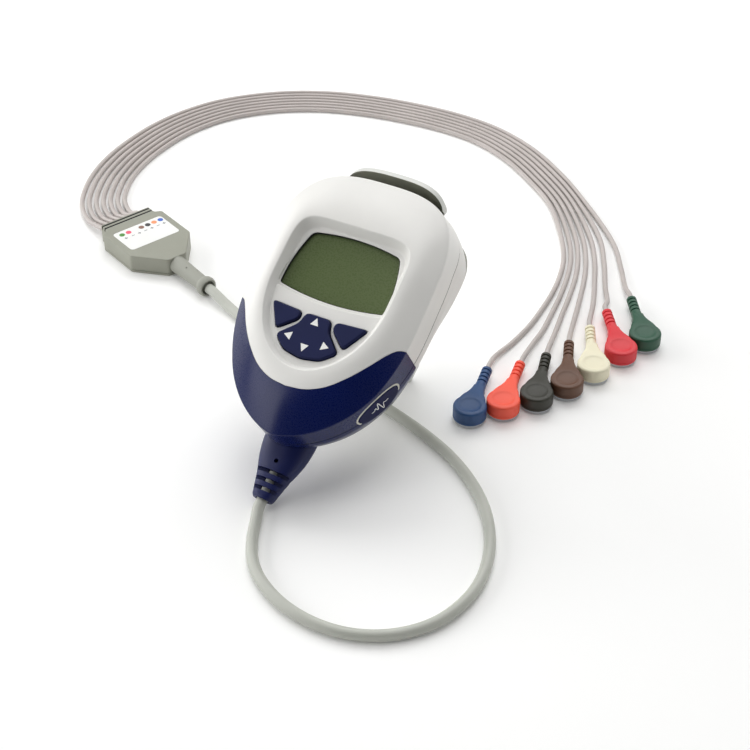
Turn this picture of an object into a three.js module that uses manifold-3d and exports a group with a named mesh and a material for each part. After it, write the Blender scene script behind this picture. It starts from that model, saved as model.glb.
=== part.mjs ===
// A holter monitor: a tilted recorder with a screen and keys, its patient cable, a yoke and seven snap leads.
// Millimetres, +Z up, table at z = 0. The recorder stands on the tip of its plug and on its open belt clip.
import * as THREE from 'three';
import { mergeVertices } from 'three/addons/utils/BufferGeometryUtils.js';
import Module from 'manifold-3d';

const wasm = await Module();
wasm.setup();

// Stance on the table
const tiltDegrees = 32.5;
const clipArmSlope = 78;            // degrees below the horizontal, with the clip fully open

// Fits
const gap = 0.3;                    // between pieces that touch
const keyGap = 0.35;                // between a key and its opening
const loopSteps = 46;               // points round the case

// Recorder case, seen from the front: x across, y up its length, z from its back to its front
const hubY = 58;                    // every point of the case outline is seen from here
const caseEgg = {
  halfWidth: 37.8, widestY: 66,
  top: { reach: 44.2, across: 3, along: 3.3 },
  bottom: { reach: 66, across: 1.6, along: 2.75 },
};
const recessEgg = {
  halfWidth: 25.6, widestY: 60,
  top: { reach: 28.5, across: 5, along: 5 },
  bottom: { reach: 34.6, across: 1.8, along: 2 },
};
const wall = 2;
const parting = { lowZ: 15, highZ: 17, fromY: 45, toY: 80 };
const gasketThickness = 0.4;
const gasketWidth = 1.5;
const gasketInset = 0.2;
const partingRoom = gasketThickness / 2 + 0.25;
const crest = { lowZ: 25, highZ: 30.3, fromY: 25, toY: 75, round: 1.2 };
const rim = { lowZ: 33.6, highZ: 35, round: 1.1 };
const recessSlope = 2.8;
const screenFloorZ = 30.6;
const keypadFloorZ = 31.6;
const floorUnderZ = 29.4;
const flare = { width: 1.4, fromY: 84, toY: 96 };   // the top end of the case is wider at its parting line
const shoulder = { fromX: 14, toX: 24, fromY: 60, toY: 95 };

// Height, then the inset of the rear shell round most of the case and at the two shoulders of its top end
const rearProfile = [[0, 9, 3.2], [0.7, 6, 1.7], [3, 3.8, 0.7], [7, 1.9, 0.2], [12, 0.1, 0]];

// Lower trim on both halves of the case
const trimLine = [[caseEgg.halfWidth + 2.7, 47.6], [caseEgg.halfWidth - 0.6, 47.5], [34.6, 46.2],
  [31.9, 42.8], [27.4, 35.8], [21.8, 28.7], [14.8, 22.3], [7.6, 18.9], [0, 17.8]];

// Screen
const screen = {
  topX: 19.5, topY: 81.4, lowX: 23.2, lowY: 57.4, topBulge: 2.1, lowBulge: 2.5, sideBulge: 1.3,
  topRound: 1.9, lowRound: 1.1,
};
const screenMargin = 1.1;
const windowThickness = 1.3;
const displayDepth = 3.4;
const panelStepDrop = 1.4;          // the keypad panel starts this far below the screen

// Keys
const keyTopZ = keypadFloorZ + 1.5;
const keyThickness = 3.2;
const keyBevel = 0.5;
const keyTravel = 0.6;
const softKeyCorners = [[21.1, 49.0], [8.0, 48.1], [7.5, 44.9], [14.9, 38.6]];
const softKeyRound = 1.9;
const navCorners = [[-5.4, 48.1], [5.4, 48.1], [6.6, 43.1], [13.6, 36.3], [8.2, 31.6], [0, 30.1],
  [-8.2, 31.6], [-13.6, 36.3], [-6.6, 43.1]];
const navRound = 2;
const navCentreY = 40;
const membrane = { thickness: 1, halfWidth: 19, lowY: 33, highY: 50.5, round: 3 };
const pivot = { radius: 2.4, seatDepth: 1.2 };   // the bump the pad rocks on, and its seat under the pad

// Event button in the right side wall, across the parting line
const eventKey = { y: 27, z: 16.5, halfLength: 11, halfHeight: 6.4, ring: 1, proud: 0.35, depth: 1.7 };

// Inside
const board = { inset: 5, lowZ: 20.7, thickness: 1.6, holeRadius: 1.8 };
const screwSpots = [[-22, 97], [22, 97], [-17, 17.5], [17, 17.5]];
const screw = { headRadius: 2.6, headHeight: 1.6, shaftRadius: 1.2, length: 22, sink: 1.2 };
const boss = { radius: 3.3, boreRadius: 1.5 };
const cell = { radius: 7.1, length: 49.4, tipRadius: 2.6, tipLength: 1, pitch: 15.2 };
const tray = { wall: 1.2, lowY: 33.6, room: 1.6 };

// Battery door and clip
const door = {
  inset: 6, overhang: 1.2, fromY: 84, toY: 103, thickness: 2, lowY: 31, bevel: 0.6,
  notchHalfWidth: 17.2, notchY: 102.6,
};
const bracket = { baseThickness: 1.4, halfWidth: 16.2, earThickness: 3, earHalfLength: 3.4, baseLowY: 90 };
const hinge = { y: 101, z: -7, pinRadius: 1.4, barrelRadius: 3.1, clearance: 0.25 };
const lip = { y: 117.7, z: 24.5, halfWidth: 21.8, cornerDrop: 8.7, bow: 4.7, crown: 1.8 };
const clipArm = { halfWidth: 15.5, thickness: 2.4, bow: 1.2, padThickness: 3.4 };

// Plug
const plug = { axisZ: 6.8, tipY: -21.6, tipRadius: 4.4, boreDepth: 12, flareRadius: 3.3, flareDepth: 5 };
const plugProfile = [[14, 10.9, 5.9], [5, 11.2, 6.2], [-1, 10.6, 6.2], [-6, 9.4, 6], [-11, 7.7, 5.6],
  [-16, 6.1, 5], [-20.6, 4.6, 4.5], [-21.6, 4, 4]];                       // y, half width, half thickness
const plugSlots = [-10.9, -14.4, -17.9];
const plugSlot = { width: 1.2, depth: 6 };
const plugEye = { y: -6, radius: 0.85, depth: 2 };
const socket = { halfWidth: 11.2, length: 12, tongueHalfHeight: 2.4 };

// Cords
const trunkRadius = 2.3;
const leadRadius = 1.15;
const leadLowZ = leadRadius + 0.12;   // the height of a lead's axis where it lies on the table
const leadNames = ['blue', 'orange', 'black', 'brown', 'ivory', 'red', 'green'];
const trunkBore = trunkRadius + gap;
const trunkRoute = [[0.5, -65.8, 2.9], [3.2, -72.1, 2.5], [8.6, -83.2, 2.45], [15.7, -93.2, 2.45], [25.1, -100.5, 2.45],
  [36.6, -105.7, 2.45], [49.6, -108, 2.45], [62.0, -106.9, 2.45], [72.6, -102.7, 2.45], [81.4, -96, 2.45],
  [88.3, -86.7, 2.45], [92.2, -75.3, 2.45], [93.2, -62.9, 2.45], [91.0, -50.3, 2.45], [86.2, -38, 2.45],
  [79.4, -26.9, 2.45], [71.1, -17.4, 2.45], [61.5, -9.2, 2.45], [50.6, -2.1, 2.45], [38.3, 3.7, 2.45],
  [26.2, 8.2, 2.45], [12, 12.5, 2.45], [-4, 15.9, 2.45], [-21, 18.9, 2.45], [-39, 23.5, 2.45],
  [-57, 30.1, 2.45], [-74, 36.7, 2.45], [-84.5, 40.8, 3.2]];
const bundleRoute = [[-176, 76.4], [-187.4, 86.3], [-194.6, 98.8], [-199.4, 112.3], [-202, 127.3], [-202.4, 142.3],
  [-201, 159.3], [-196.4, 176.9], [-188, 193.9], [-176.6, 207.5], [-162.4, 219.3], [-144.4, 229.1],
  [-124.4, 235.6], [-103.6, 239.5], [-78, 241.3], [-54, 238.7], [-30.6, 229.5], [-8.4, 214.7], [10.4, 198.6]];
const bundlePitch = { start: 3.5, end: 2.9 };
const leadTails = {
  blue: [[21.8, 167.9], [30.0, 152.5], [34.4, 138.9], [37.4, 123.3], [38.8, 108], [39.3, 95.1], [38.2, 80.3],
    [36.6, 66.8]],
  orange: [[24.7, 169.7], [33.0, 153.9], [37.6, 140.3], [41.2, 124.5], [43.8, 109.3], [45.8, 95.8], [46.8, 82.3]],
  black: [[27.6, 171.4], [36.2, 154.9], [41.2, 141.1], [45.2, 125.1], [48.5, 109.3], [51.8, 95.3]],
  brown: [[30.6, 173], [39.6, 156.3], [45.4, 141.7], [50.3, 125.3], [54.6, 110.3]],
  ivory: [[33.9, 174.5], [43.4, 157.9], [50.5, 141.7], [57.2, 124.7]],
  red: [[38.2, 175.9], [48.6, 157.1], [56.6, 139.9], [62.2, 128.8]],
  green: [[45.2, 175.7], [56.8, 157.7], [65.4, 142.5]],
};

// Yoke: its own x runs from the lead end to the cable end
const yoke = {
  x: -163.2, y: 71.8, turnDegrees: -21.5, length: 45, barHalfWidth: 13.4, barLength: 5.4,
  halfWidth: 16.6, shoulderX: 31, neckHalfWidth: 5, baseTopZ: 4.2, topZ: 9, bevel: 1,
};
const yokeNeck = { length: 70, axisZ: 4.7, rootRadius: 4.1, tipRadius: 3.3, flangeRadius: 4.6, flangeLength: 3 };
const yokeLabel = { lowX: 10.4, highX: 27.6, halfWidth: 13.4, round: 2, thickness: 0.4 };

// Snap connectors: where each head lies, and where the end of its sleeve points
const snapPlaces = {
  blue: { head: [45.2, 25.5], tail: [38.9, 53.9] },
  orange: { head: [55.3, 36.1], tail: [48.6, 68.3] },
  black: { head: [65.1, 47.6], tail: [56.1, 77.1] },
  brown: { head: [72.6, 61.6], tail: [59.9, 92.3] },
  ivory: { head: [77.9, 77.3], tail: [63.6, 105.8] },
  red: { head: [83.2, 94.3], tail: [66.6, 118.2] },
  green: { head: [88.4, 108.7], tail: [72.2, 132.9] },
};
const snap = {
  radius: 7, topZ: 7.2, lowZ: 1.5, bevel: 0.8, dimpleRadius: 4.4, dimpleDepth: 0.55,
  sleeveLength: 30, axisZ: 3.7, sleeveRadius: 2.2, ribCount: 4, ribPitch: 2.6, grooveDepth: 0.45,
};
const snapTaper = [[6.8, 4.8], [9.4, 3.7], [13, 2.8], [16, 2.45]];
const snapSocket = { radius: 6.6, thickness: 1.2, boreRadius: 2.1 };

// Colours
const finish = {
  white: { color: 0xe8e7e3, roughness: 0.45 }, navy: { color: 0x20265e, roughness: 0.5 },
  screen: { color: 0x5a6648, roughness: 0.15 }, clipGrey: { color: 0x9a9b92, roughness: 0.5 },
  rubber: { color: 0x6d6257, roughness: 0.8 }, steel: { color: 0xb9bcc0, roughness: 0.3, metalness: 1 },
  board: { color: 0x1f5f3a, roughness: 0.6 }, cell: { color: 0x3a3f46, roughness: 0.4 },
  trunk: { color: 0xc9cbc6, roughness: 0.5 }, lead: { color: 0xcfc8c6, roughness: 0.5 },
  yoke: { color: 0xa3a498, roughness: 0.55 }, label: { color: 0xf4f4f2, roughness: 0.5 },
  inner: { color: 0x55595c, roughness: 0.6 }, blue: { color: 0x2b4c80, roughness: 0.6 },
  orange: { color: 0xf9473a, roughness: 0.6 }, black: { color: 0x2e2f2a, roughness: 0.6 },
  brown: { color: 0x5a4038, roughness: 0.6 }, ivory: { color: 0xefe9cc, roughness: 0.6 },
  red: { color: 0xdb2f3b, roughness: 0.6 }, green: { color: 0x2a5b41, roughness: 0.6 },
};

const radians = THREE.MathUtils.degToRad;
const clamp01 = (value) => Math.min(1, Math.max(0, value));

// Meshes and solids
function toSolid(geometry) {
  const bare = geometry.clone();
  bare.deleteAttribute('normal');
  bare.deleteAttribute('uv');
  const merged = mergeVertices(bare, 1e-4);
  return new wasm.Manifold(new wasm.Mesh({
    numProp: 3,
    vertProperties: new Float32Array(merged.attributes.position.array),
    triVerts: new Uint32Array(merged.index.array),
  }));
}

function toGeometry(solid) {
  const mesh = solid.getMesh();
  const geometry = new THREE.BufferGeometry();
  geometry.setAttribute('position', new THREE.Float32BufferAttribute(mesh.vertProperties, 3));
  geometry.setIndex(Array.from(mesh.triVerts));
  geometry.computeVertexNormals();
  return geometry;
}

function piece(name, shape, finishName) {
  const geometry = shape.isBufferGeometry ? shape : toGeometry(shape);
  const mesh = new THREE.Mesh(geometry, new THREE.MeshStandardMaterial(finish[finishName]));
  mesh.name = name;
  return mesh;
}

// Joins loops of equal length, lowest first. An open stack is capped, a closed one returns to its first loop.
function loft(loops, closed = false) {
  const count = loops[0].length;
  const points = loops.flat().map((p) => [p.x, p.y, p.z]);
  const faces = [];
  const last = closed ? loops.length : loops.length - 1;
  for (let k = 0; k < last; k += 1) {
    const low = k * count;
    const high = ((k + 1) % loops.length) * count;
    for (let i = 0; i < count; i += 1) {
      const next = (i + 1) % count;
      faces.push(low + i, low + next, high + next);
      faces.push(low + i, high + next, high + i);
    }
  }
  if (!closed) {
    [0, loops.length - 1].forEach((k) => {
      const centre = loops[k].reduce((sum, p) => sum.add(p), new THREE.Vector3()).divideScalar(count);
      const hub = points.push([centre.x, centre.y, centre.z]) - 1;
      for (let i = 0; i < count; i += 1) {
        const edge = [k * count + i, k * count + ((i + 1) % count)];
        faces.push(hub, ...(k === 0 ? edge.reverse() : edge));
      }
    });
  }
  const geometry = new THREE.BufferGeometry();
  geometry.setAttribute('position', new THREE.Float32BufferAttribute(points.flat(), 3));
  geometry.setIndex(faces);
  return toSolid(geometry);
}

function box(lowX, highX, lowY, highY, lowZ, highZ) {
  const geometry = new THREE.BoxGeometry(highX - lowX, highY - lowY, highZ - lowZ);
  geometry.translate((lowX + highX) / 2, (lowY + highY) / 2, (lowZ + highZ) / 2);
  return toSolid(geometry);
}

function prism(shape, lowZ, highZ, bevel = 0, curveSegments = 6) {
  const points = shape.getPoints(curveSegments);
  const apart = [];
  points.forEach((point) => {
    const spaced = (other) => !other || point.distanceTo(other) > Math.max(0.02, 0.8 * bevel);
    if (spaced(apart[apart.length - 1]) && spaced(apart[0])) apart.push(point);
  });
  const geometry = new THREE.ExtrudeGeometry(new THREE.Shape(apart), {
    depth: highZ - lowZ - 2 * bevel, bevelEnabled: bevel > 0, bevelSize: bevel, bevelThickness: bevel,
    bevelOffset: -bevel, bevelSegments: 1,
  });
  geometry.translate(0, 0, lowZ + bevel);
  return toSolid(geometry);
}

// A turned solid whose axis runs along z, from [radius, z] points
function turned(profile, sides) {
  const points = profile.map(([radius, z]) => new THREE.Vector2(radius, z));
  const geometry = new THREE.LatheGeometry(points, sides);
  geometry.rotateX(Math.PI / 2);
  return toSolid(geometry);
}

function rod(radius, lowZ, highZ, sides = 12) {
  return turned([[0, lowZ], [radius, lowZ], [radius, highZ], [0, highZ]], sides);
}

function ring(innerRadius, outerRadius, lowZ, highZ, sides) {
  return turned([[innerRadius, lowZ], [outerRadius, lowZ], [outerRadius, highZ], [innerRadius, highZ],
    [innerRadius, lowZ]], sides);
}

// A closed outline of straight edges with round corners, grown outwards by some distance
function roundedShape(corners, round, grow = 0) {
  const count = corners.length;
  const points = corners.map(([x, y]) => new THREE.Vector2(x, y));
  const turn = Math.sign(THREE.ShapeUtils.area(points));
  const grown = points.map((point, i) => {
    const back = point.clone().sub(points[(i + count - 1) % count]).normalize();
    const ahead = points[(i + 1) % count].clone().sub(point).normalize();
    const out = new THREE.Vector2(back.y + ahead.y, -back.x - ahead.x).normalize();
    const reach = grow / Math.max(0.5, out.x * ahead.y - out.y * ahead.x);
    return point.clone().addScaledVector(out, turn * reach);
  });
  const shape = new THREE.Shape();
  grown.forEach((corner, i) => {
    const before = grown[(i + count - 1) % count];
    const after = grown[(i + 1) % count];
    const cut = (other) => corner.clone().lerp(other, Math.min(0.45, (round + grow) / corner.distanceTo(other)));
    const start = cut(before);
    const end = cut(after);
    if (i === 0) shape.moveTo(start.x, start.y);
    else shape.lineTo(start.x, start.y);
    shape.quadraticCurveTo(corner.x, corner.y, end.x, end.y);
  });
  shape.closePath();
  return shape;
}

// Case outlines
function eggRadius(egg, angle) {
  const reachesOut = (radius) => {
    const x = radius * Math.cos(angle);
    const y = hubY + radius * Math.sin(angle) - egg.widestY;
    const end = y > 0 ? egg.top : egg.bottom;
    return Math.abs(x / egg.halfWidth) ** end.across + Math.abs(y / end.reach) ** end.along > 1;
  };
  let low = 0;
  let high = 2 * (egg.top.reach + egg.bottom.reach);
  for (let k = 0; k < 40; k += 1) {
    const middle = (low + high) / 2;
    if (reachesOut(middle)) high = middle;
    else low = middle;
  }
  return low;
}

const caseRadius = (angle) => eggRadius(caseEgg, angle);
const recessRadius = (angle) => eggRadius(recessEgg, angle);

function loop(radiusAt, heightAt) {
  return Array.from({ length: loopSteps }, (_, i) => {
    const angle = (i / loopSteps) * 2 * Math.PI;
    const radius = radiusAt(angle);
    const x = radius * Math.cos(angle);
    const y = hubY + radius * Math.sin(angle);
    return new THREE.Vector3(x, y, typeof heightAt === 'number' ? heightAt : heightAt(y));
  });
}

const insetCase = (inset) => (angle) => caseRadius(angle) - inset;
const caseY = (angle) => hubY + caseRadius(angle) * Math.sin(angle);
const between = (low, high, value) => THREE.MathUtils.smoothstep(value, low, high);
const flareAt = (angle) => flare.width * between(flare.fromY, flare.toY, caseY(angle));
const insetWall = (inset) => (angle) => caseRadius(angle) + flareAt(angle) - inset;
const shoulderAt = (angle) => between(shoulder.fromY, shoulder.toY, caseY(angle))
  * between(shoulder.fromX, shoulder.toX, Math.abs(caseRadius(angle) * Math.cos(angle)));
const insetRecess = (inset) => (angle) => recessRadius(angle) - inset;
const alongCase = (y) => clamp01((y - crest.fromY) / (crest.toY - crest.fromY));
const crestAt = (y) => crest.lowZ + (crest.highZ - crest.lowZ) * alongCase(y);
const partingAt = (y) => parting.lowZ + (parting.highZ - parting.lowZ) * between(parting.fromY, parting.toY, y);
const rimAt = (y) => rim.lowZ + (rim.highZ - rim.lowZ) * alongCase(y);

// The dome between the crest of the side wall and the rim of the recess; share runs from 0 to 1
const domeRadius = (share) => (angle) => THREE.MathUtils.lerp(
  caseRadius(angle) - crest.round, recessRadius(angle) + rim.round, share);
const domeHeight = (share, sink = 0) => (y) => THREE.MathUtils.lerp(
  crestAt(y), rimAt(y), Math.sin(share * Math.PI / 2)) - sink;

function frontShell() {
  const partingTop = (y) => partingAt(y) + partingRoom;
  return loft([
    loop(insetWall(0), partingTop),
    loop(insetCase(0), (y) => crestAt(y) - crest.round),
    loop(insetCase(crest.round * 0.3), (y) => crestAt(y) - crest.round * 0.3),
    ...[0, 0.35, 0.72, 1].map((share) => loop(domeRadius(share), domeHeight(share))),
    loop(recessRadius, (y) => rimAt(y) - rim.round / 2),
    loop(insetRecess(recessSlope), screenFloorZ),
    loop(insetRecess(recessSlope), floorUnderZ),
    loop(insetRecess(-rim.round), floorUnderZ),
    ...[0.8, 0.35].map((share) => loop(domeRadius(share), domeHeight(share, wall))),
    loop(insetCase(wall + crest.round), (y) => crestAt(y) - wall),
    loop(insetCase(wall), (y) => crestAt(y) - wall - crest.round),
    loop(insetWall(wall), partingTop),
  ], true);
}

function rearLoops(inset, raise) {
  const steps = rearProfile.map(([z, lowInset, shoulderInset]) => loop((angle) => {
    const step = THREE.MathUtils.lerp(lowInset, shoulderInset, shoulderAt(angle));
    return insetWall(inset + step)(angle);
  }, z + raise));
  return [...steps, loop(insetWall(inset), (y) => partingAt(y) - partingRoom)];
}

function rearShell() {
  const cavity = rearLoops(wall, wall).slice(0, -1);
  cavity.push(loop(insetWall(wall), partingAt));
  return loft(rearLoops(0, 0)).subtract(loft(cavity));
}

// The whole outside of the case below the crest, moved inwards by the inset
function caseEnvelope(inset) {
  return loft([...rearLoops(inset, inset),
    loop(insetCase(inset), (y) => crestAt(y) - crest.round)]);
}

// The region of the lower trim, moved outwards by some distance
function trimRegion(grow) {
  const half = new THREE.SplineCurve(trimLine.map(([x, y]) => new THREE.Vector2(x, y))).getPoints(24);
  const edge = half.map((point, i) => {
    const ahead = half[Math.min(i + 1, half.length - 1)].clone().sub(half[Math.max(i - 1, 0)]).normalize();
    return point.clone().add(new THREE.Vector2(ahead.y, -ahead.x).multiplyScalar(grow));
  });
  const reach = edge[0].x;
  const shape = new THREE.Shape([new THREE.Vector2(-reach, -reach), new THREE.Vector2(reach, -reach), ...edge,
    ...edge.slice(0, -1).reverse().map((point) => new THREE.Vector2(-point.x, point.y))]);
  return prism(shape, -10, 60);
}

// Screen outline, grown outwards: four bowed sides that meet in round corners
function screenShape(grow) {
  const [topX, lowX] = [screen.topX + grow, screen.lowX + grow];
  const [topY, lowY] = [screen.topY + grow, screen.lowY - grow];
  const sideX = (topX + lowX) / 2 + 2 * screen.sideBulge;
  const middleY = (topY + lowY) / 2;
  const corners = [[-topX, topY, screen.topRound], [-lowX, lowY, screen.lowRound], [lowX, lowY, screen.lowRound],
    [topX, topY, screen.topRound]];
  const bows = [[-sideX, middleY], [0, lowY - 2 * screen.lowBulge], [sideX, middleY],
    [0, topY + 2 * screen.topBulge]];
  const shape = new THREE.Shape();
  corners.forEach(([x, y, round], i) => {
    const [nextX, nextY, nextRound] = corners[(i + 1) % corners.length];
    const ends = [new THREE.Vector2(x, y), new THREE.Vector2(nextX, nextY)];
    const side = new THREE.QuadraticBezierCurve(ends[0], new THREE.Vector2(...bows[i]), ends[1]);
    const span = ends[0].distanceTo(ends[1]);
    const [from, to] = [(round + grow) / span, 1 - (nextRound + grow) / span];
    const points = [0, 0.2, 0.4, 0.6, 0.8, 1].map((share) => side.getPoint(THREE.MathUtils.lerp(from, to, share)));
    if (i === 0) shape.moveTo(points[0].x, points[0].y);
    points.slice(1).forEach((point) => shape.lineTo(point.x, point.y));
    const after = new THREE.QuadraticBezierCurve(ends[1], new THREE.Vector2(...bows[(i + 1) % corners.length]),
      new THREE.Vector2(...corners[(i + 2) % corners.length].slice(0, 2)));
    const start = after.getPoint((nextRound + grow) / ends[1].distanceTo(after.v2));
    shape.quadraticCurveTo(nextX, nextY, start.x, start.y);
  });
  return shape;
}

// Everything below the step between the screen and the keypad panel
function keypadSide() {
  const shape = new THREE.Shape();
  const reach = caseEgg.halfWidth;
  const sideY = screen.lowY - panelStepDrop;
  const slope = 2 * screen.lowBulge / screen.lowX;
  shape.moveTo(-reach, 0);
  shape.lineTo(reach, 0);
  shape.lineTo(reach, sideY + slope * (reach - screen.lowX));
  shape.lineTo(screen.lowX, sideY);
  shape.quadraticCurveTo(0, sideY - 2 * screen.lowBulge, -screen.lowX, sideY);
  shape.lineTo(-reach, sideY + slope * (reach - screen.lowX));
  return prism(shape, 0, rim.highZ);
}

const mirrored = (corners) => corners.map(([x, y]) => [-x, y]);
const keyOutline = (corners, round, grow = 0) => roundedShape(corners, round, grow);

function keyOpenings() {
  return [[softKeyCorners, softKeyRound], [mirrored(softKeyCorners), softKeyRound], [navCorners, navRound]]
    .map(([corners, round]) => prism(keyOutline(corners, round, keyGap), floorUnderZ - 2, rim.highZ))
    .reduce((all, next) => all.add(next));
}

function recessFloor() {
  const lowFloor = loft([loop(insetRecess(recessSlope - 0.5), floorUnderZ),
    loop(insetRecess(recessSlope - 0.5), screenFloorZ)]);
  const panel = loft([loop(insetRecess(recessSlope / 2), floorUnderZ),
    loop(insetRecess(recessSlope / 2), keypadFloorZ)]);
  const opening = prism(screenShape(0), floorUnderZ - 1, rim.highZ);
  return lowFloor.add(panel.intersect(keypadSide())).subtract(opening).subtract(keyOpenings());
}

// Event button: an oval that follows the side wall
const eventFrame = (() => {
  const { halfWidth, widestY, bottom } = caseEgg;
  const share = (widestY - eventKey.y) / bottom.reach;
  const x = halfWidth * (1 - share ** bottom.along) ** (1 / bottom.across);
  const slopeX = (bottom.across / halfWidth) * (x / halfWidth) ** (bottom.across - 1);
  const slopeY = -(bottom.along / bottom.reach) * share ** (bottom.along - 1);
  const normal = new THREE.Vector3(slopeX, slopeY, 0).normalize();
  const up = new THREE.Vector3(0, 0, 1);
  const along = new THREE.Vector3().crossVectors(up, normal);
  return new THREE.Matrix4().makeBasis(along, up, normal).setPosition(x, eventKey.y, eventKey.z);
})();

function eventOval(grow) {
  const shape = new THREE.Shape();
  shape.absellipse(0, 0, eventKey.halfLength + grow, eventKey.halfHeight + grow, 0, 2 * Math.PI);
  const reach = 3 * wall;
  const geometry = new THREE.ExtrudeGeometry(shape, { depth: 2 * reach, bevelEnabled: false, curveSegments: 10 });
  geometry.translate(0, 0, -reach);
  geometry.applyMatrix4(eventFrame);
  return toSolid(geometry);
}

function eventBand(proud) {
  return caseEnvelope(-proud).subtract(caseEnvelope(eventKey.depth));
}

// Openings that both halves of the case share
function plugOpening() {
  const inside = [plugProfile[0][0] + gap, ...plugProfile[0].slice(1)];
  return plugLoft([inside, ...plugProfile.slice(0, 5)], gap);
}

function makeFront() {
  let shell = frontShell().add(recessFloor());
  screwSpots.forEach(([x, y]) => {
    const top = y > hubY ? crest.highZ : crest.lowZ + 1;
    const post = rod(boss.radius, board.lowZ + board.thickness + gap, top).translate([x, y, 0]);
    const bore = rod(boss.boreRadius, 0, top - wall).translate([x, y, 0]);
    shell = shell.add(post).subtract(bore);
  });
  shell = shell.subtract(eventOval(gap));
  return [
    piece('front_housing', shell.subtract(trimRegion(gap)), 'white'),
    piece('front_lower_trim', shell.intersect(trimRegion(0)), 'navy'),
  ];
}

function trayBox(grow, lowZ, highZ) {
  const halfWidth = cell.pitch / 2 + cell.radius + gap + grow;
  const highY = tray.lowY + cell.length + cell.tipLength + 2 * tray.room;
  return box(-halfWidth, halfWidth, tray.lowY - grow, highY + grow, lowZ, highZ);
}

function makeRear() {
  let shell = rearShell();
  screwSpots.forEach(([x, y]) => {
    shell = shell.add(rod(boss.radius, wall / 2, board.lowZ - gap).translate([x, y, 0]));
    shell = shell.subtract(rod(boss.boreRadius, -1, board.lowZ).translate([x, y, 0]));
    shell = shell.subtract(rod(screw.headRadius + gap, -1, screw.sink + screw.headHeight).translate([x, y, 0]));
  });
  shell = shell.subtract(trayBox(0, -1, wall + 1)).subtract(eventOval(gap)).subtract(plugOpening());
  return [
    piece('rear_housing', shell.subtract(trimRegion(gap)), 'white'),
    piece('rear_lower_trim', shell.intersect(trimRegion(0)), 'navy'),
  ];
}

function makeGasket() {
  const low = (y) => partingAt(y) - gasketThickness / 2;
  const high = (y) => partingAt(y) + gasketThickness / 2;
  const band = loft([loop(insetWall(gasketInset), low), loop(insetWall(gasketInset), high),
    loop(insetWall(gasketInset + gasketWidth), high), loop(insetWall(gasketInset + gasketWidth), low)], true);
  return piece('parting_gasket', band.subtract(eventOval(gap)), 'rubber');
}

function makeScreen() {
  const windowTop = floorUnderZ - gap;
  const windowLow = windowTop - windowThickness;
  const display = box(-screen.lowX - screenMargin, screen.lowX + screenMargin,
    screen.lowY - screen.lowBulge, screen.topY + screen.topBulge,
    windowLow - gap - displayDepth, windowLow - gap);
  const frame = box(-screen.lowX - 2 * screenMargin, screen.lowX + 2 * screenMargin,
    screen.lowY - screen.lowBulge - screenMargin, screen.topY + screen.topBulge + screenMargin,
    board.lowZ + board.thickness + gap, windowLow - displayDepth - 2 * gap);
  return [
    piece('display_window', prism(screenShape(screenMargin), windowLow, windowTop), 'screen'),
    piece('display_panel', display, 'screen'),
    piece('display_carrier', frame, 'inner'),
  ];
}

const keySlide = { low: keyTopZ - keyThickness };

function makeKeys() {
  const softKey = (corners) => prism(keyOutline(corners, softKeyRound), keySlide.low, keyTopZ, keyBevel, 3);
  const seatTop = keySlide.low + pivot.seatDepth;
  const seat = rod(pivot.radius + keyGap, keySlide.low - 1, seatTop).translate([0, navCentreY, 0]);
  const navKey = prism(keyOutline(navCorners, navRound), keySlide.low, keyTopZ, keyBevel, 3).subtract(seat);
  const membraneTop = keySlide.low - keyTravel - gap;
  const { halfWidth, lowY, highY, round, thickness } = membrane;
  const sheet = roundedShape([[-halfWidth, highY], [-halfWidth, lowY + halfWidth / 2], [0, lowY - round],
    [halfWidth, lowY + halfWidth / 2], [halfWidth, highY]], round);
  return [
    piece('soft_key_left', softKey(mirrored(softKeyCorners)), 'navy'),
    piece('soft_key_right', softKey(softKeyCorners), 'navy'),
    piece('nav_key', navKey, 'navy'),
    piece('nav_pivot', rod(pivot.radius, membraneTop + gap, seatTop - gap).translate([0, navCentreY, 0]), 'inner'),
    piece('keypad_membrane', prism(sheet, membraneTop - thickness, membraneTop, 0, 2), 'rubber'),
  ];
}

function makeEventButton() {
  const oval = eventOval(-eventKey.ring - gap);
  const ringOval = eventOval(0).subtract(eventOval(-eventKey.ring))
    .intersect(box(0, 2 * hubY, 0, hubY, parting.lowZ - 0.8, rim.highZ));
  return [
    piece('event_button', oval.intersect(eventBand(eventKey.proud)), 'navy'),
    piece('event_button_ring', ringOval.intersect(eventBand(gap / 2)), 'white'),
  ];
}

function makeElectronics() {
  const top = board.lowZ + board.thickness;
  let circuit = loft([loop(insetCase(board.inset), board.lowZ), loop(insetCase(board.inset), top)]);
  screwSpots.forEach(([x, y]) => {
    circuit = circuit.subtract(rod(board.holeRadius, 0, top + 1).translate([x, y, 0]));
  });
  [[-14, 4, 60, 72], [8, 20, 64, 74], [-20, -12, 40, 48]].forEach(([lowX, highX, lowY, highY]) => {
    circuit = circuit.add(box(lowX, highX, lowY, highY, board.lowZ - 1.4, board.lowZ + 0.5));
  });
  const { halfWidth, length, tongueHalfHeight } = socket;
  const lowY = plugProfile[0][0] + gap;
  const halfHeight = plug.axisZ - wall - gap;
  const slotHalfHeight = tongueHalfHeight + gap;
  const receptacle = box(-halfWidth, halfWidth, lowY, lowY + length, plug.axisZ - halfHeight, board.lowZ - gap)
    .subtract(box(wall - halfWidth, halfWidth - wall, lowY - 1, lowY + length - wall,
      plug.axisZ - slotHalfHeight, plug.axisZ + slotHalfHeight));
  const tongue = box(wall + gap - halfWidth, halfWidth - wall - gap, lowY, lowY + length - wall - gap,
    plug.axisZ - tongueHalfHeight, plug.axisZ + tongueHalfHeight);
  return [
    piece('main_board', circuit, 'board'),
    piece('connector_socket', receptacle, 'inner'),
    piece('plug_contacts', tongue, 'inner'),
  ];
}

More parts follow.
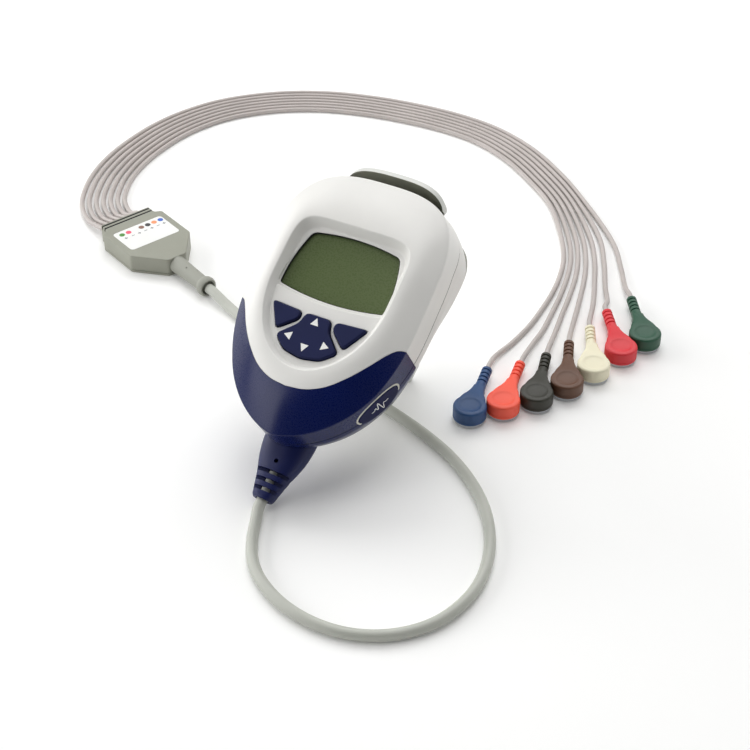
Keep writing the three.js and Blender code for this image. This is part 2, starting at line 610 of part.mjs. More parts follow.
function makePower() {
  const low = wall + gap;
  const cellZ = low + gap + cell.radius;
  const high = cellZ + cell.radius + gap + tray.wall;
  const case_ = trayBox(tray.wall, low, high).subtract(trayBox(0, low - 1, high - tray.wall));
  const startY = tray.lowY + tray.room;
  const endY = startY + cell.length + cell.tipLength;
  const makeCell = (name, x, flipped) => {
    const shape = turned([[0, 0], [cell.radius, 0], [cell.radius, cell.length], [cell.tipRadius, cell.length],
      [cell.tipRadius, cell.length + cell.tipLength], [0, cell.length + cell.tipLength]], 14)
      .rotate([flipped ? 90 : -90, 0, 0]).translate([x, flipped ? endY : startY, cellZ]);
    return piece(name, shape, 'cell');
  };
  const contact = (name, lowY, highY) => piece(name,
    box(-cell.pitch / 2 - cell.radius + 1, cell.pitch / 2 + cell.radius - 1, lowY, highY, low + 1, high - 3),
    'steel');
  return [
    piece('battery_tray', case_, 'inner'),
    makeCell('battery_left', -cell.pitch / 2, false),
    makeCell('battery_right', cell.pitch / 2, true),
    contact('contact_strip_low', tray.lowY + gap, startY - gap),
    contact('contact_strip_high', endY + gap, endY + tray.room - gap),
  ];
}

function makeScrews() {
  const low = screw.sink;
  const shape = turned([[0, low], [screw.headRadius, low], [screw.headRadius, low + screw.headHeight],
    [screw.shaftRadius, low + screw.headHeight], [screw.shaftRadius, low + screw.length],
    [0, low + screw.length]], 10);
  return screwSpots.map(([x, y], i) => piece(`case_screw_${i + 1}`, shape.translate([x, y, 0]), 'steel'));
}

function makeDoor() {
  const top = -gap;
  const low = top - door.thickness;
  const outline = (extra) => (angle) => {
    const share = clamp01((caseY(angle) - door.fromY) / (door.toY - door.fromY));
    return caseRadius(angle) + door.overhang - (door.inset + door.overhang) * (1 - share) ** 1.5 - extra;
  };
  const plate = loft([loop(outline(door.bevel), low), loop(outline(0), low + door.bevel), loop(outline(0), top)]);
  const kept = plate.intersect(box(-2 * hubY, 2 * hubY, door.lowY, 2 * hubY, low - 1, top + 1))
    .subtract(box(-door.notchHalfWidth, door.notchHalfWidth, door.notchY, 2 * hubY, low - 1, top + 1));
  const reach = cell.pitch / 2 + cell.radius;
  const tabs = [-1, 1].map((side) => {
    const [a, b] = [side * (reach - 1.4), side * reach].sort((p, q) => p - q);
    return box(a, b, hubY, hubY + 14, top - 0.5, wall - gap);
  });
  const { baseThickness, halfWidth, earThickness, earHalfLength, baseLowY } = bracket;
  const seat = low - gap;
  let ears = box(-halfWidth, halfWidth, baseLowY, hinge.y, seat - baseThickness, seat);
  [-1, 1].forEach((side) => {
    const [a, b] = [side * halfWidth, side * (halfWidth - earThickness)].sort((p, q) => p - q);
    ears = ears.add(box(a, b, hinge.y - earHalfLength, hinge.y + earHalfLength, hinge.z, seat - 0.5));
    ears = ears.add(acrossRod(earHalfLength, a, b));
  });
  ears = ears.subtract(acrossRod(hinge.pinRadius + hinge.clearance, -halfWidth - 1, halfWidth + 1));
  ears = ears.subtract(acrossRod(hinge.barrelRadius + gap, earThickness - halfWidth, halfWidth - earThickness));
  return [
    piece('battery_door', kept.add(tabs[0]).add(tabs[1]), 'clipGrey'),
    piece('clip_bracket', ears, 'clipGrey'),
    piece('clip_pin', acrossRod(hinge.pinRadius, -halfWidth - 0.6, halfWidth + 0.6), 'steel'),
  ];
}

// A rod on the clip's hinge line
function acrossRod(radius, lowX, highX) {
  return rod(radius, lowX, highX, 18).rotate([0, 90, 0]).translate([0, hinge.y, hinge.z]);
}

// A body between two grids of points of equal size. The first faces the side from which its rows run
// counterclockwise from its columns.
function slab(first, second) {
  const [rows, columns] = [first.length, first[0].length];
  const points = [...first.flat(), ...second.flat()].flatMap((p) => [p.x, p.y, p.z]);
  const at = (i, j) => i * columns + j;
  const under = (index) => index + rows * columns;
  const faces = [];
  const quad = (a, b, c, d) => faces.push(a, b, c, a, c, d);
  for (let i = 0; i < rows - 1; i += 1) {
    for (let j = 0; j < columns - 1; j += 1) {
      quad(at(i, j), at(i, j + 1), at(i + 1, j + 1), at(i + 1, j));
      quad(under(at(i, j)), under(at(i + 1, j)), under(at(i + 1, j + 1)), under(at(i, j + 1)));
    }
  }
  const last = [rows - 1, columns - 1];
  const border = [];
  for (let j = 0; j < last[1]; j += 1) border.push(at(0, j));
  for (let i = 0; i < last[0]; i += 1) border.push(at(i, last[1]));
  for (let j = last[1]; j > 0; j -= 1) border.push(at(last[0], j));
  for (let i = last[0]; i > 0; i -= 1) border.push(at(i, 0));
  border.forEach((a, k) => {
    const b = border[(k + 1) % border.length];
    quad(b, a, under(a), under(b));
  });
  const geometry = new THREE.BufferGeometry();
  geometry.setAttribute('position', new THREE.Float32BufferAttribute(points, 3));
  geometry.setIndex(faces);
  return toSolid(geometry);
}

// The clip's lever: it widens from the hinge to a lip whose end is an arc that drops at the corners
function makeLever(pivot, neck, thickness) {
  const tip = new THREE.Vector3(0, lip.y, lip.z);
  const span = tip.clone().sub(pivot);
  const along = span.clone().normalize();
  const backwards = new THREE.Vector3(0, along.z, -along.y);
  const across = 12;
  const shares = [0, 0.2, 0.34, 0.48, 0.62, 0.76, 0.88, 1];
  const side = (offset) => shares.map((share) => Array.from({ length: across + 1 }, (_, j) => {
    const place = Math.sin(((2 * j) / across - 1) * Math.PI / 2);
    const widening = between(0.2, 0.95, share);
    const drop = lip.cornerDrop * (1 - Math.sqrt(1 - place ** 4)) * share ** 2;
    const out = lip.bow * Math.sin(share * Math.PI) - lip.crown * widening * place * place - offset;
    return pivot.clone().addScaledVector(along, share * span.length() - drop).addScaledVector(backwards, out)
      .setX(place * THREE.MathUtils.lerp(neck, lip.halfWidth, widening));
  }));
  return slab(side(thickness), side(0));
}

// Height above the table of a point of the tilted recorder
const tilt = radians(tiltDegrees);
const plugTipDrop = plug.tipY * Math.sin(tilt) + (plug.axisZ - plug.tipRadius) * Math.cos(tilt);
const heightOf = (y, z) => y * Math.sin(tilt) + z * Math.cos(tilt) - plugTipDrop;
const clipOpenAngle = radians(clipArmSlope) - tilt;
const clipArmLength = heightOf(hinge.y, hinge.z) / Math.sin(radians(clipArmSlope));

// One cross-section of the clip's blade: a bowed strip square to its centre line
function bladeLoop(spot, direction, halfWidth, thickness, bow) {
  const across = 6;
  const out = new THREE.Vector3(0, direction.z, -direction.y);
  const side = (offset) => Array.from({ length: across + 1 }, (_, i) => {
    const share = (2 * i) / across - 1;
    const shift = offset + bow * (1 - share * share);
    return new THREE.Vector3(share * halfWidth, spot.y, spot.z).addScaledVector(out, shift);
  });
  return [...side(-thickness / 2), ...side(thickness / 2).reverse()];
}

function blade(stations) {
  const loops = stations.map((station, i) => {
    const before = stations[Math.max(i - 1, 0)].spot;
    const after = stations[Math.min(i + 1, stations.length - 1)].spot;
    const direction = after.clone().sub(before).normalize();
    return bladeLoop(station.spot, direction, station.halfWidth, station.thickness, station.bow);
  });
  return loft(loops);
}

function makeClip() {
  const { halfWidth, thickness, bow, padThickness } = clipArm;
  const neck = bracket.halfWidth - bracket.earThickness - gap;
  const pivot = new THREE.Vector3(0, hinge.y, hinge.z);
  const down = new THREE.Vector3(0, -Math.cos(clipOpenAngle), -Math.sin(clipOpenAngle));
  const armAt = (distance) => pivot.clone().addScaledVector(down, distance);
  const clearOfBracket = bracket.earHalfLength + 4;
  const arm = blade([
    [0, neck, thickness, 0], [clearOfBracket, neck, thickness, 0], [clearOfBracket + 4, halfWidth, thickness, bow],
    [clipArmLength * 0.6, halfWidth, thickness, bow], [clipArmLength - 8, halfWidth - 1, thickness, bow],
    [clipArmLength - 5, halfWidth - 2, padThickness, 0.4], [clipArmLength + 1.5, halfWidth - 4, padThickness, 0],
  ].map(([distance, half, thick, curve]) => (
    { spot: armAt(distance), halfWidth: half, thickness: thick, bow: curve })));
  const lever = makeLever(pivot, neck, thickness);
  const foot = armAt(clipArmLength);
  const barrel = acrossRod(hinge.barrelRadius, -neck, neck);
  const pinHole = acrossRod(hinge.pinRadius + hinge.clearance, -neck - 1, neck + 1);
  const below = tableBlock().intersect(box(-50, 50, foot.y - 20, foot.y + 20, foot.z - 20, foot.z + 20));
  const clip = arm.add(lever).add(barrel).subtract(pinHole).subtract(below);
  return piece('belt_clip', clip, 'clipGrey');
}

// Everything below the table, in the recorder's own frame
function tableBlock() {
  const block = new THREE.BoxGeometry(200, 400, 100);
  block.translate(0, 0, -50);
  block.rotateX(-tilt);
  block.translate(0, plugTipDrop * Math.sin(tilt), plugTipDrop * Math.cos(tilt));
  return toSolid(block);
}

function plugLoft(profile, grow) {
  const around = 14;
  const soften = (value) => Math.sign(value) * Math.abs(value) ** 0.8;
  return loft(profile.map(([y, halfWidth, halfThickness]) => Array.from({ length: around }, (_, i) => {
    const angle = (i / around) * 2 * Math.PI;
    return new THREE.Vector3((halfWidth + grow) * soften(Math.cos(angle)), y,
      plug.axisZ + (halfThickness + grow) * soften(Math.sin(angle)));
  })));
}

function makePlug() {
  const { flareRadius, flareDepth, boreDepth } = plug;
  const bore = turned([[0, -1], [flareRadius, -1], [flareRadius, 0], [trunkBore, flareDepth],
    [trunkBore, boreDepth], [0, boreDepth]], 12).rotate([-90, 0, 0]).translate([0, plug.tipY, plug.axisZ]);
  let shape = plugLoft(plugProfile, 0).subtract(bore);
  plugSlots.forEach((y) => {
    [-1, 1].forEach((side) => {
      const [low, high] = [side * (trunkBore - 0.4), side * 10].sort((a, b) => a - b);
      shape = shape.subtract(box(-plugSlot.depth, plugSlot.depth, y - plugSlot.width / 2,
        y + plugSlot.width / 2, plug.axisZ + low, plug.axisZ + high));
    });
  });
  const eye = rod(plugEye.radius, plug.axisZ + 6.2 - plugEye.depth, plug.axisZ + 8, 10).translate([0, plugEye.y, 0]);
  return piece('plug_body', shape.subtract(eye), 'navy');
}

// Cords
function tube(points, radius, steps, sides) {
  const path = new THREE.CatmullRomCurve3(points, false, 'centripetal');
  const section = new THREE.Shape();
  section.absarc(0, 0, radius, 0, 2 * Math.PI);
  const round = new THREE.Shape(section.getPoints(sides / 2).slice(0, -1));
  return new THREE.ExtrudeGeometry(round, { steps, extrudePath: path, curveSegments: 1 });
}

function makeRecorder() {
  const recorder = new THREE.Group();
  const parts = [...makeFront(), ...makeRear(), makeGasket(), ...makeScreen(), ...makeKeys(),
    ...makeEventButton(), ...makeElectronics(), ...makePower(), ...makeScrews(), ...makeDoor(), makeClip(),
    makePlug()];
  recorder.add(...parts);
  recorder.rotation.x = tilt;
  recorder.position.z = -plugTipDrop;
  recorder.updateMatrixWorld(true);
  const reach = new THREE.Box3();
  parts.filter((part) => !part.name.startsWith('plug')).forEach((part) => reach.expandByObject(part, true));
  recorder.position.y = -(reach.min.y + reach.max.y) / 2;
  recorder.updateMatrixWorld(true);
  return recorder;
}

const recorder = makeRecorder();

function makeTrunk() {
  const insidePlug = [plug.boreDepth - gap, plug.boreDepth - 6, 1.5].map((depth) => recorder.localToWorld(
    new THREE.Vector3(0, plug.tipY + depth, plug.axisZ)));
  const yokeEnd = yokePoint(yokeNeck.length + gap, 0, yokeNeck.axisZ);
  const afterYoke = yokePoint(yokeNeck.length + 4, 0, yokeNeck.axisZ);
  const points = [...insidePlug, ...trunkRoute.map(([x, y, z]) => new THREE.Vector3(x, y, z)), afterYoke, yokeEnd];
  return piece('trunk_cable', tube(points, trunkRadius, 48, 8), 'trunk');
}

// Yoke
const yokeTurn = radians(yoke.turnDegrees);

function yokePoint(x, y, z) {
  return new THREE.Vector3(x, y, z).applyAxisAngle(new THREE.Vector3(0, 0, 1), yokeTurn)
    .add(new THREE.Vector3(yoke.x, yoke.y, 0));
}

function yokeOutline() {
  const { length, barHalfWidth, barLength, halfWidth, shoulderX, neckHalfWidth } = yoke;
  const half = [[0, barHalfWidth], [barLength, barHalfWidth], [barLength + 1.6, halfWidth], [shoulderX, halfWidth],
    [length, neckHalfWidth]];
  const other = half.map(([x, y]) => [x, -y]);
  return roundedShape([...other, ...half.reverse()], 2.4);
}

function makeYoke() {
  const { length, barLength, barHalfWidth, baseTopZ, topZ, bevel } = yoke;
  const channel = rod(yokeNeck.rootRadius + gap, length - 12, length + 5, 14).rotate([0, 90, 0])
    .translate([0, 0, yokeNeck.axisZ]);
  let cover = prism(yokeOutline(), baseTopZ - bevel, topZ, bevel, 3)
    .intersect(box(-5, 90, -40, 40, baseTopZ + gap, topZ + 1)).subtract(channel);
  [barLength * 0.3, barLength * 0.72].forEach((x) => {
    cover = cover.subtract(box(x, x + 0.9, -barHalfWidth - 1, barHalfWidth + 1, topZ - 0.9, topZ + 1));
  });
  cover = cover.subtract(prism(labelShape(gap), topZ - yokeLabel.thickness, topZ + 1));
  const base = prism(yokeOutline(), 0, baseTopZ + bevel, bevel, 3)
    .intersect(box(-5, 90, -40, 40, -1, baseTopZ)).subtract(channel);
  const { axisZ, rootRadius, tipRadius, flangeRadius, flangeLength } = yokeNeck;
  const neckEnd = yokeNeck.length;
  const neck = turned([[0, length - 11], [rootRadius, length - 11], [rootRadius, length],
    [tipRadius, neckEnd - flangeLength], [flangeRadius, neckEnd - flangeLength + 0.8],
    [flangeRadius, neckEnd - 0.8], [flangeRadius - 0.8, neckEnd], [0, neckEnd]], 16)
    .rotate([0, 90, 0]).translate([0, 0, axisZ]);
  const group = new THREE.Group();
  group.add(
    piece('yoke_cover', cover, 'yoke'),
    piece('yoke_base', base, 'yoke'),
    piece('yoke_strain_relief', neck, 'yoke'),
    piece('yoke_label', prism(labelShape(0), topZ - yokeLabel.thickness + gap / 2, topZ + gap / 2), 'label'),
  );
  group.position.set(yoke.x, yoke.y, 0);
  group.rotation.z = yokeTurn;
  return group;
}

function labelShape(grow) {
  const { lowX, highX, halfWidth, round } = yokeLabel;
  return roundedShape([[lowX, -halfWidth], [highX, -halfWidth], [highX, halfWidth], [lowX, halfWidth]], round, grow);
}

// Leads and their snap connectors
function leadRoute(name, index) {
  const centre = bundleRoute.map(([x, y]) => new THREE.Vector2(x, y));
  const place = (leadNames.length - 1) / 2 - index;
  const first = [-gap, -5].map((x) => yokePoint(x, place * bundlePitch.start, x < -1 ? 4 : 4.5));
  const bundled = centre.map((point, i) => {
    const ahead = centre[Math.min(i + 1, centre.length - 1)].clone().sub(centre[Math.max(i - 1, 0)]).normalize();
    const pitch = THREE.MathUtils.lerp(bundlePitch.start, bundlePitch.end, clamp01(i / (centre.length - 1)));
    const z = i === 0 ? leadLowZ + 0.8 : leadLowZ;
    return new THREE.Vector3(point.x + ahead.y * pitch * place, point.y - ahead.x * pitch * place, z);
  });
  const tail = leadTails[name].map(([x, y], i, all) => new THREE.Vector3(x, y,
    i === all.length - 1 ? leadLowZ + 0.9 : leadLowZ));
  const { sleeve, back } = snapEnds(name);
  return [...first, ...bundled, ...tail, back, sleeve];
}

function snapEnds(name) {
  const { head, tail } = snapPlaces[name];
  const start = new THREE.Vector3(head[0], head[1], snap.axisZ);
  const direction = new THREE.Vector3(tail[0] - head[0], tail[1] - head[1], 0).normalize();
  return {
    direction,
    sleeve: start.clone().addScaledVector(direction, snap.sleeveLength + gap),
    back: start.clone().addScaledVector(direction, snap.sleeveLength + 4),
  };
}

function snapOutline() {
  const steps = 6;
  const round = Array.from({ length: steps + 1 }, (_, i) => {
    const angle = Math.PI - (i / steps) * radians(125);
    return [snap.radius * Math.cos(angle), snap.radius * Math.sin(angle)];
  });
  const half = [...round, ...snapTaper];
  const other = half.slice(1).reverse().map(([x, y]) => [x, -y]);
  return new THREE.Shape([...other, ...half].reverse().map(([x, y]) => new THREE.Vector2(x, y)));
}

function snapHead() {
  const { radius, topZ, lowZ, sleeveLength, axisZ, sleeveRadius, ribCount, ribPitch, grooveDepth } = snap;
  const { dimpleRadius, dimpleDepth } = snap;
  const bulb = prism(snapOutline(), lowZ, topZ, snap.bevel);
  const ribs = [];
  const ribStart = sleeveLength - ribCount * ribPitch;
  for (let rib = 0; rib < ribCount; rib += 1) {
    const start = ribStart + rib * ribPitch;
    ribs.push([sleeveRadius - grooveDepth, start], [sleeveRadius, start + 0.7]);
  }
  const sleeve = turned([[0, radius], [sleeveRadius + 0.5, radius], [sleeveRadius, ribStart - 0.8], ...ribs,
    [sleeveRadius - grooveDepth, sleeveLength], [0, sleeveLength]], 8)
    .rotate([0, 90, 0]).translate([0, 0, axisZ]);
  const slope = box(6, sleeveLength + 1, -radius, radius, 0, 4).rotate([0, 12, 0]).translate([0, 0, topZ + 0.2]);
  const dimple = turned([[0, topZ - dimpleDepth], [dimpleRadius * 0.6, topZ - dimpleDepth * 0.75],
    [dimpleRadius, topZ], [dimpleRadius, topZ + 1], [0, topZ + 1]], 12);
  return bulb.subtract(slope).add(sleeve).subtract(dimple);
}

function makeLead(name, index, headShape) {
  const { head } = snapPlaces[name];
  const { direction } = snapEnds(name);
  const group = new THREE.Group();
  const base = new THREE.Group();
  base.position.set(head[0], head[1], 0);
  base.rotation.z = Math.atan2(direction.y, direction.x);
  const { radius, thickness, boreRadius } = snapSocket;
  base.add(
    piece(`snap_head_${name}`, headShape, name),
    piece(`snap_socket_${name}`, ring(boreRadius, radius, 0, thickness, 14), 'steel'),
  );
  const route = leadRoute(name, index);
  group.add(base, piece(`lead_${name}`, tube(route, leadRadius, 32, 8), 'lead'));
  return group;
}

const holterMonitor = new THREE.Group();
holterMonitor.add(recorder, makeYoke(), makeTrunk());
const headShape = snapHead();
leadNames.forEach((name, index) => holterMonitor.add(makeLead(name, index, headShape)));

export default holterMonitor;
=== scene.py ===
import math

import bmesh
import bpy
from mathutils import Matrix, Vector


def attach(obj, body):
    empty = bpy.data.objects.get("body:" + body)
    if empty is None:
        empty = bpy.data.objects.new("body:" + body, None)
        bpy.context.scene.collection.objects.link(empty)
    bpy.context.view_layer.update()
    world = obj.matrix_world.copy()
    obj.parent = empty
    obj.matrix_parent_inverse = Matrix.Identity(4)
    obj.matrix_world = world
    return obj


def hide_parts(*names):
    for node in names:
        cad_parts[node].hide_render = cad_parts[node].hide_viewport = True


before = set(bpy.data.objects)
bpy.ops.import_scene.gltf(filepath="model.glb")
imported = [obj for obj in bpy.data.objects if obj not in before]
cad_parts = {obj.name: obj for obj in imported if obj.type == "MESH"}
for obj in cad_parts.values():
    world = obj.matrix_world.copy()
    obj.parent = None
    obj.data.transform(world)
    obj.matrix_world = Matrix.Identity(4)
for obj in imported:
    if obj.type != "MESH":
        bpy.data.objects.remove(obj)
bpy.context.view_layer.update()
print("frame loaded")


# Small helpers
def shiftBy(x=0, y=0, z=0):
    return Matrix.Translation((x, y, z))


def turnBy(degrees, axis):
    return Matrix.Rotation(math.radians(degrees), 4, axis)


# Shapes are made in millimetres where each piece is drawn, and then put in their place in metres
tableScale = Matrix.Scale(0.001, 4)
recorderPlace = shiftBy(0, -0.0406584, 0.0095815) @ turnBy(32.5, "X") @ tableScale
yokePlace = shiftBy(-0.1632, 0.0718) @ turnBy(-21.5, "Z") @ tableScale


def mix(low, high, share):
    return low + (high - low) * share


def clamp(value):
    return min(1.0, max(0.0, value))


def ease(low, high, value):
    share = clamp((value - low) / (high - low))
    return share * share * (3 - 2 * share)


def smoothRoute(points, steps=6):
    # a centripetal curve through the points, as the cords follow it
    points = [Vector(point) for point in points]
    full = [2 * points[0] - points[1], *points, 2 * points[-1] - points[-2]]
    route = []
    for before, start, end, after in zip(full, full[1:], full[2:], full[3:]):
        knots = [0.0]
        for a, b in ((before, start), (start, end), (end, after)):
            knots.append(knots[-1] + max((b - a).length, 1e-6) ** 0.5)
        for step in range(steps):
            t = mix(knots[1], knots[2], step / steps)
            a1 = before.lerp(start, t / knots[1])
            a2 = start.lerp(end, (t - knots[1]) / (knots[2] - knots[1]))
            a3 = end.lerp(after, (t - knots[2]) / (knots[3] - knots[2]))
            b1 = a1.lerp(a2, t / knots[2])
            b2 = a2.lerp(a3, (t - knots[1]) / (knots[3] - knots[1]))
            route.append(b1.lerp(b2, (t - knots[1]) / (knots[2] - knots[1])))
    return route + [points[-1]]


def directionAt(line, i):
    return (line[min(i + 1, len(line) - 1)] - line[max(i - 1, 0)]).normalized()


def roundSteps(count):
    # how far a rounded edge has come in and up, from its foot on the wall to its end on the face
    turns = [math.pi / 2 * step / count for step in range(count + 1)]
    return [(1 - math.cos(turn), math.sin(turn)) for turn in turns]


def roundedTop(topZ, edge, count=4):
    # levels of height and growth that round the upper edge of a body
    return [(topZ - edge + edge * up, -edge * across) for across, up in roundSteps(count)]


def bothSides(near, far):
    # a span to the left of the middle, and the same to the right
    return (-far, -near), (near, far)


# Modelling
def clearSelection():
    if bpy.context.object and bpy.context.object.mode != "OBJECT":
        bpy.ops.object.mode_set(mode="OBJECT")
    bpy.ops.object.select_all(action="DESELECT")


def choose(obj):
    clearSelection()
    obj.select_set(True)
    bpy.context.view_layer.objects.active = obj


def startLoop(name, ring, filled=False):
    # a circle whose points are numbered and then moved on to the first outline
    clearSelection()
    bpy.ops.mesh.primitive_circle_add(vertices=len(ring), radius=1, fill_type="NGON" if filled else "NOTHING")
    obj = bpy.context.object
    obj.name = name
    bpy.ops.object.mode_set(mode="EDIT")
    mesh = bmesh.from_edit_mesh(obj.data)
    mesh.verts.layers.int.new("ring")
    spot = mesh.verts.layers.int.new("spot")
    for index, vert in enumerate(mesh.verts):
        vert[spot] = index
    setRing(obj, ring, 0)
    return obj


def setRing(obj, ring, number):
    mesh = bmesh.from_edit_mesh(obj.data)
    spot, ringLayer = mesh.verts.layers.int["spot"], mesh.verts.layers.int["ring"]
    for vert in mesh.verts:
        if vert.select:
            vert.co = ring[vert[spot]]
            vert[ringLayer] = number
    bmesh.update_edit_mesh(obj.data)


def selectRing(obj, number):
    bpy.ops.mesh.select_all(action="DESELECT")
    mesh = bmesh.from_edit_mesh(obj.data)
    ringLayer = mesh.verts.layers.int["ring"]
    for vert in mesh.verts:
        vert.select = vert[ringLayer] == number
    mesh.select_flush_mode()
    bmesh.update_edit_mesh(obj.data)


def leaveEdit(obj):
    bpy.ops.mesh.select_all(action="SELECT")
    bpy.ops.mesh.remove_doubles(threshold=0.0005)
    bpy.ops.mesh.normals_make_consistent(inside=False)
    bpy.ops.mesh.select_all(action="DESELECT")
    bpy.ops.object.mode_set(mode="OBJECT")
    for layer in ("spot", "ring"):
        if layer in obj.data.attributes:
            obj.data.attributes.remove(obj.data.attributes[layer])
    return obj


def ringBody(name, rings, closed=False, caps=("flat", "flat")):
    # a loop extruded from outline to outline, then closed at both ends or joined to its start
    obj = startLoop(name, rings[0])
    rows = rings[1:] + ([rings[0]] if closed else [])
    for number, ring in enumerate(rows, 1):
        bpy.ops.mesh.extrude_edges_move()
        setRing(obj, ring, number)
    if not closed:
        for number, cap in ((len(rows), caps[1]), (0, caps[0])):
            selectRing(obj, number)
            if cap == "flat":
                bpy.ops.mesh.edge_face_add()
            else:
                bpy.ops.mesh.extrude_edges_move()
                bpy.ops.mesh.merge(type="CENTER")
    return leaveEdit(obj)


def stackBody(name, outlineAt, levels, closed=False):
    # an outline that grows or shrinks from height to height
    rings = [[Vector((*point, z)) for point in outlineAt(grow)] for z, grow in levels]
    return ringBody(name, rings, closed)


def turnedBody(name, profile, sides, axis="Z", closed=False):
    # a body of revolution from points of radius and distance along the axis
    turns = [math.tau * step / sides for step in range(sides)]
    order = {"X": "zxy", "Y": "xzy", "Z": "xyz"}[axis]
    rings = [[getattr(Vector((radius * math.cos(turn), radius * math.sin(turn), along)), order)
              for turn in turns] for radius, along in profile]
    return ringBody(name, rings, closed)


def prismBody(name, outline, lowZ, highZ):
    obj = startLoop(name, [Vector((x, y, lowZ)) for x, y in outline], filled=True)
    bpy.ops.mesh.extrude_region_move(TRANSFORM_OT_translate={"value": (0, 0, highZ - lowZ)})
    return leaveEdit(obj)


def boxBody(name, low, high, round_=0.0):
    outline = [(low[0], low[1]), (high[0], low[1]), (high[0], high[1]), (low[0], high[1])]
    if round_:
        outline = roundedOutline(outline, round_, steps=6)
    return prismBody(name, [Vector(point) for point in outline], low[2], high[2])


def flaredTool(outlineAt, lowZ, topZ, round_):
    # a cutter that opens outwards near the top face, so that the opening gets a rounded edge
    levels = [(lowZ, 0.0)] + [(z, -grow) for z, grow in roundedTop(topZ, round_)] + [(topZ + 6, round_)]
    return stackBody("flaredTool", outlineAt, levels)


def moved(obj, place):
    obj.data.transform(place)
    return obj


def applyAll(obj):
    choose(obj)
    for modifier in list(obj.modifiers):
        bpy.ops.object.modifier_apply(modifier=modifier.name)
    return obj


def cut(obj, *cutters, operation="DIFFERENCE"):
    for cutter in cutters:
        modifier = obj.modifiers.new("cut", "BOOLEAN")
        modifier.operation = operation
        modifier.solver = "EXACT"
        modifier.object = cutter
        applyAll(obj)
        bpy.data.objects.remove(cutter)
    return obj


def softenEdges(obj, width, angle):
    modifier = obj.modifiers.new("edges", "BEVEL")
    modifier.width = width
    modifier.segments = 3
    modifier.limit_method = "ANGLE"
    modifier.angle_limit = math.radians(angle)
    return applyAll(obj)


def smooth(obj, angle=38, weighted=False):
    choose(obj)
    bpy.ops.object.shade_smooth_by_angle(angle=math.radians(angle))
    if weighted:
        modifier = obj.modifiers.new("faces", "WEIGHTED_NORMAL")
        modifier.keep_sharp = True
        applyAll(obj)
    return obj


def duplicate(obj, name):
    copy = obj.copy()
    copy.data = obj.data.copy()
    copy.name = name
    bpy.context.collection.objects.link(copy)
    return copy


def finishPiece(obj, place, material, slot, node=None, body="recorder"):
    # the place goes into the mesh, so that the object itself sits at the origin
    obj.data.transform(place)
    obj.data.materials.clear()
    obj.data.materials.append(bpy.data.materials[material])
    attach(obj, body)
    if node:
        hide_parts(node)
    return obj


def roundedOutline(corners, round_, grow=0.0, steps=8):
    # straight edges with round corners, grown outwards, counterclockwise
    points = [Vector(corner) for corner in corners]
    area = sum(a.x * b.y - b.x * a.y for a, b in zip(points, points[1:] + points[:1]))
    turn = 1 if area > 0 else -1
    count = len(points)
    grown = []
    for i, point in enumerate(points):
        back = (point - points[i - 1]).normalized()
        ahead = (points[(i + 1) % count] - point).normalized()
        out = Vector((back.y + ahead.y, -back.x - ahead.x)).normalized()
        reach = grow / max(0.5, out.x * ahead.y - out.y * ahead.x)
        grown.append(point + out * turn * reach)
    outline = []
    for i, corner in enumerate(grown):
        before, after = grown[i - 1], grown[(i + 1) % count]
        start = corner.lerp(before, min(0.45, (round_ + grow) / (corner - before).length))
        end = corner.lerp(after, min(0.45, (round_ + grow) / (corner - after).length))
        for step in range(steps + 1):
            t = step / steps
            outline.append(start * (1 - t) ** 2 + corner * 2 * t * (1 - t) + end * t * t)
    return outline if turn > 0 else outline[::-1]


# Materials
def hexColour(code):
    # sRGB hex to the linear colour that the shaders take
    parts = [int(code[i:i + 2], 16) / 255 for i in (1, 3, 5)]
    return tuple(c / 12.92 if c <= 0.04045 else ((c + 0.055) / 1.055) ** 2.4 for c in parts) + (1.0,)


def addNode(material, kind, inputs=None, to=None, out=0, **settings):
    # inputs are values or other nodes' outputs, and the node's own output may go on to a socket
    node = material.node_tree.nodes.new("ShaderNode" + kind)
    for name, value in settings.items():
        setattr(node, name, value)
    for name, value in (inputs or {}).items():
        if isinstance(value, bpy.types.NodeSocket):
            material.node_tree.links.new(value, node.inputs[name])
        else:
            node.inputs[name].default_value = value
    if to:
        material.node_tree.links.new(node.outputs[out], to)
    return node.outputs[out]


def newMaterial(name, **values):
    material = bpy.data.materials.new(name)
    material.use_nodes = True
    shader = material.node_tree.nodes["Principled BSDF"].inputs
    for socket, value in values.items():
        shader[socket.replace("_", " ")].default_value = value
    return material, shader, addNode(material, "TexCoord", out="Object")


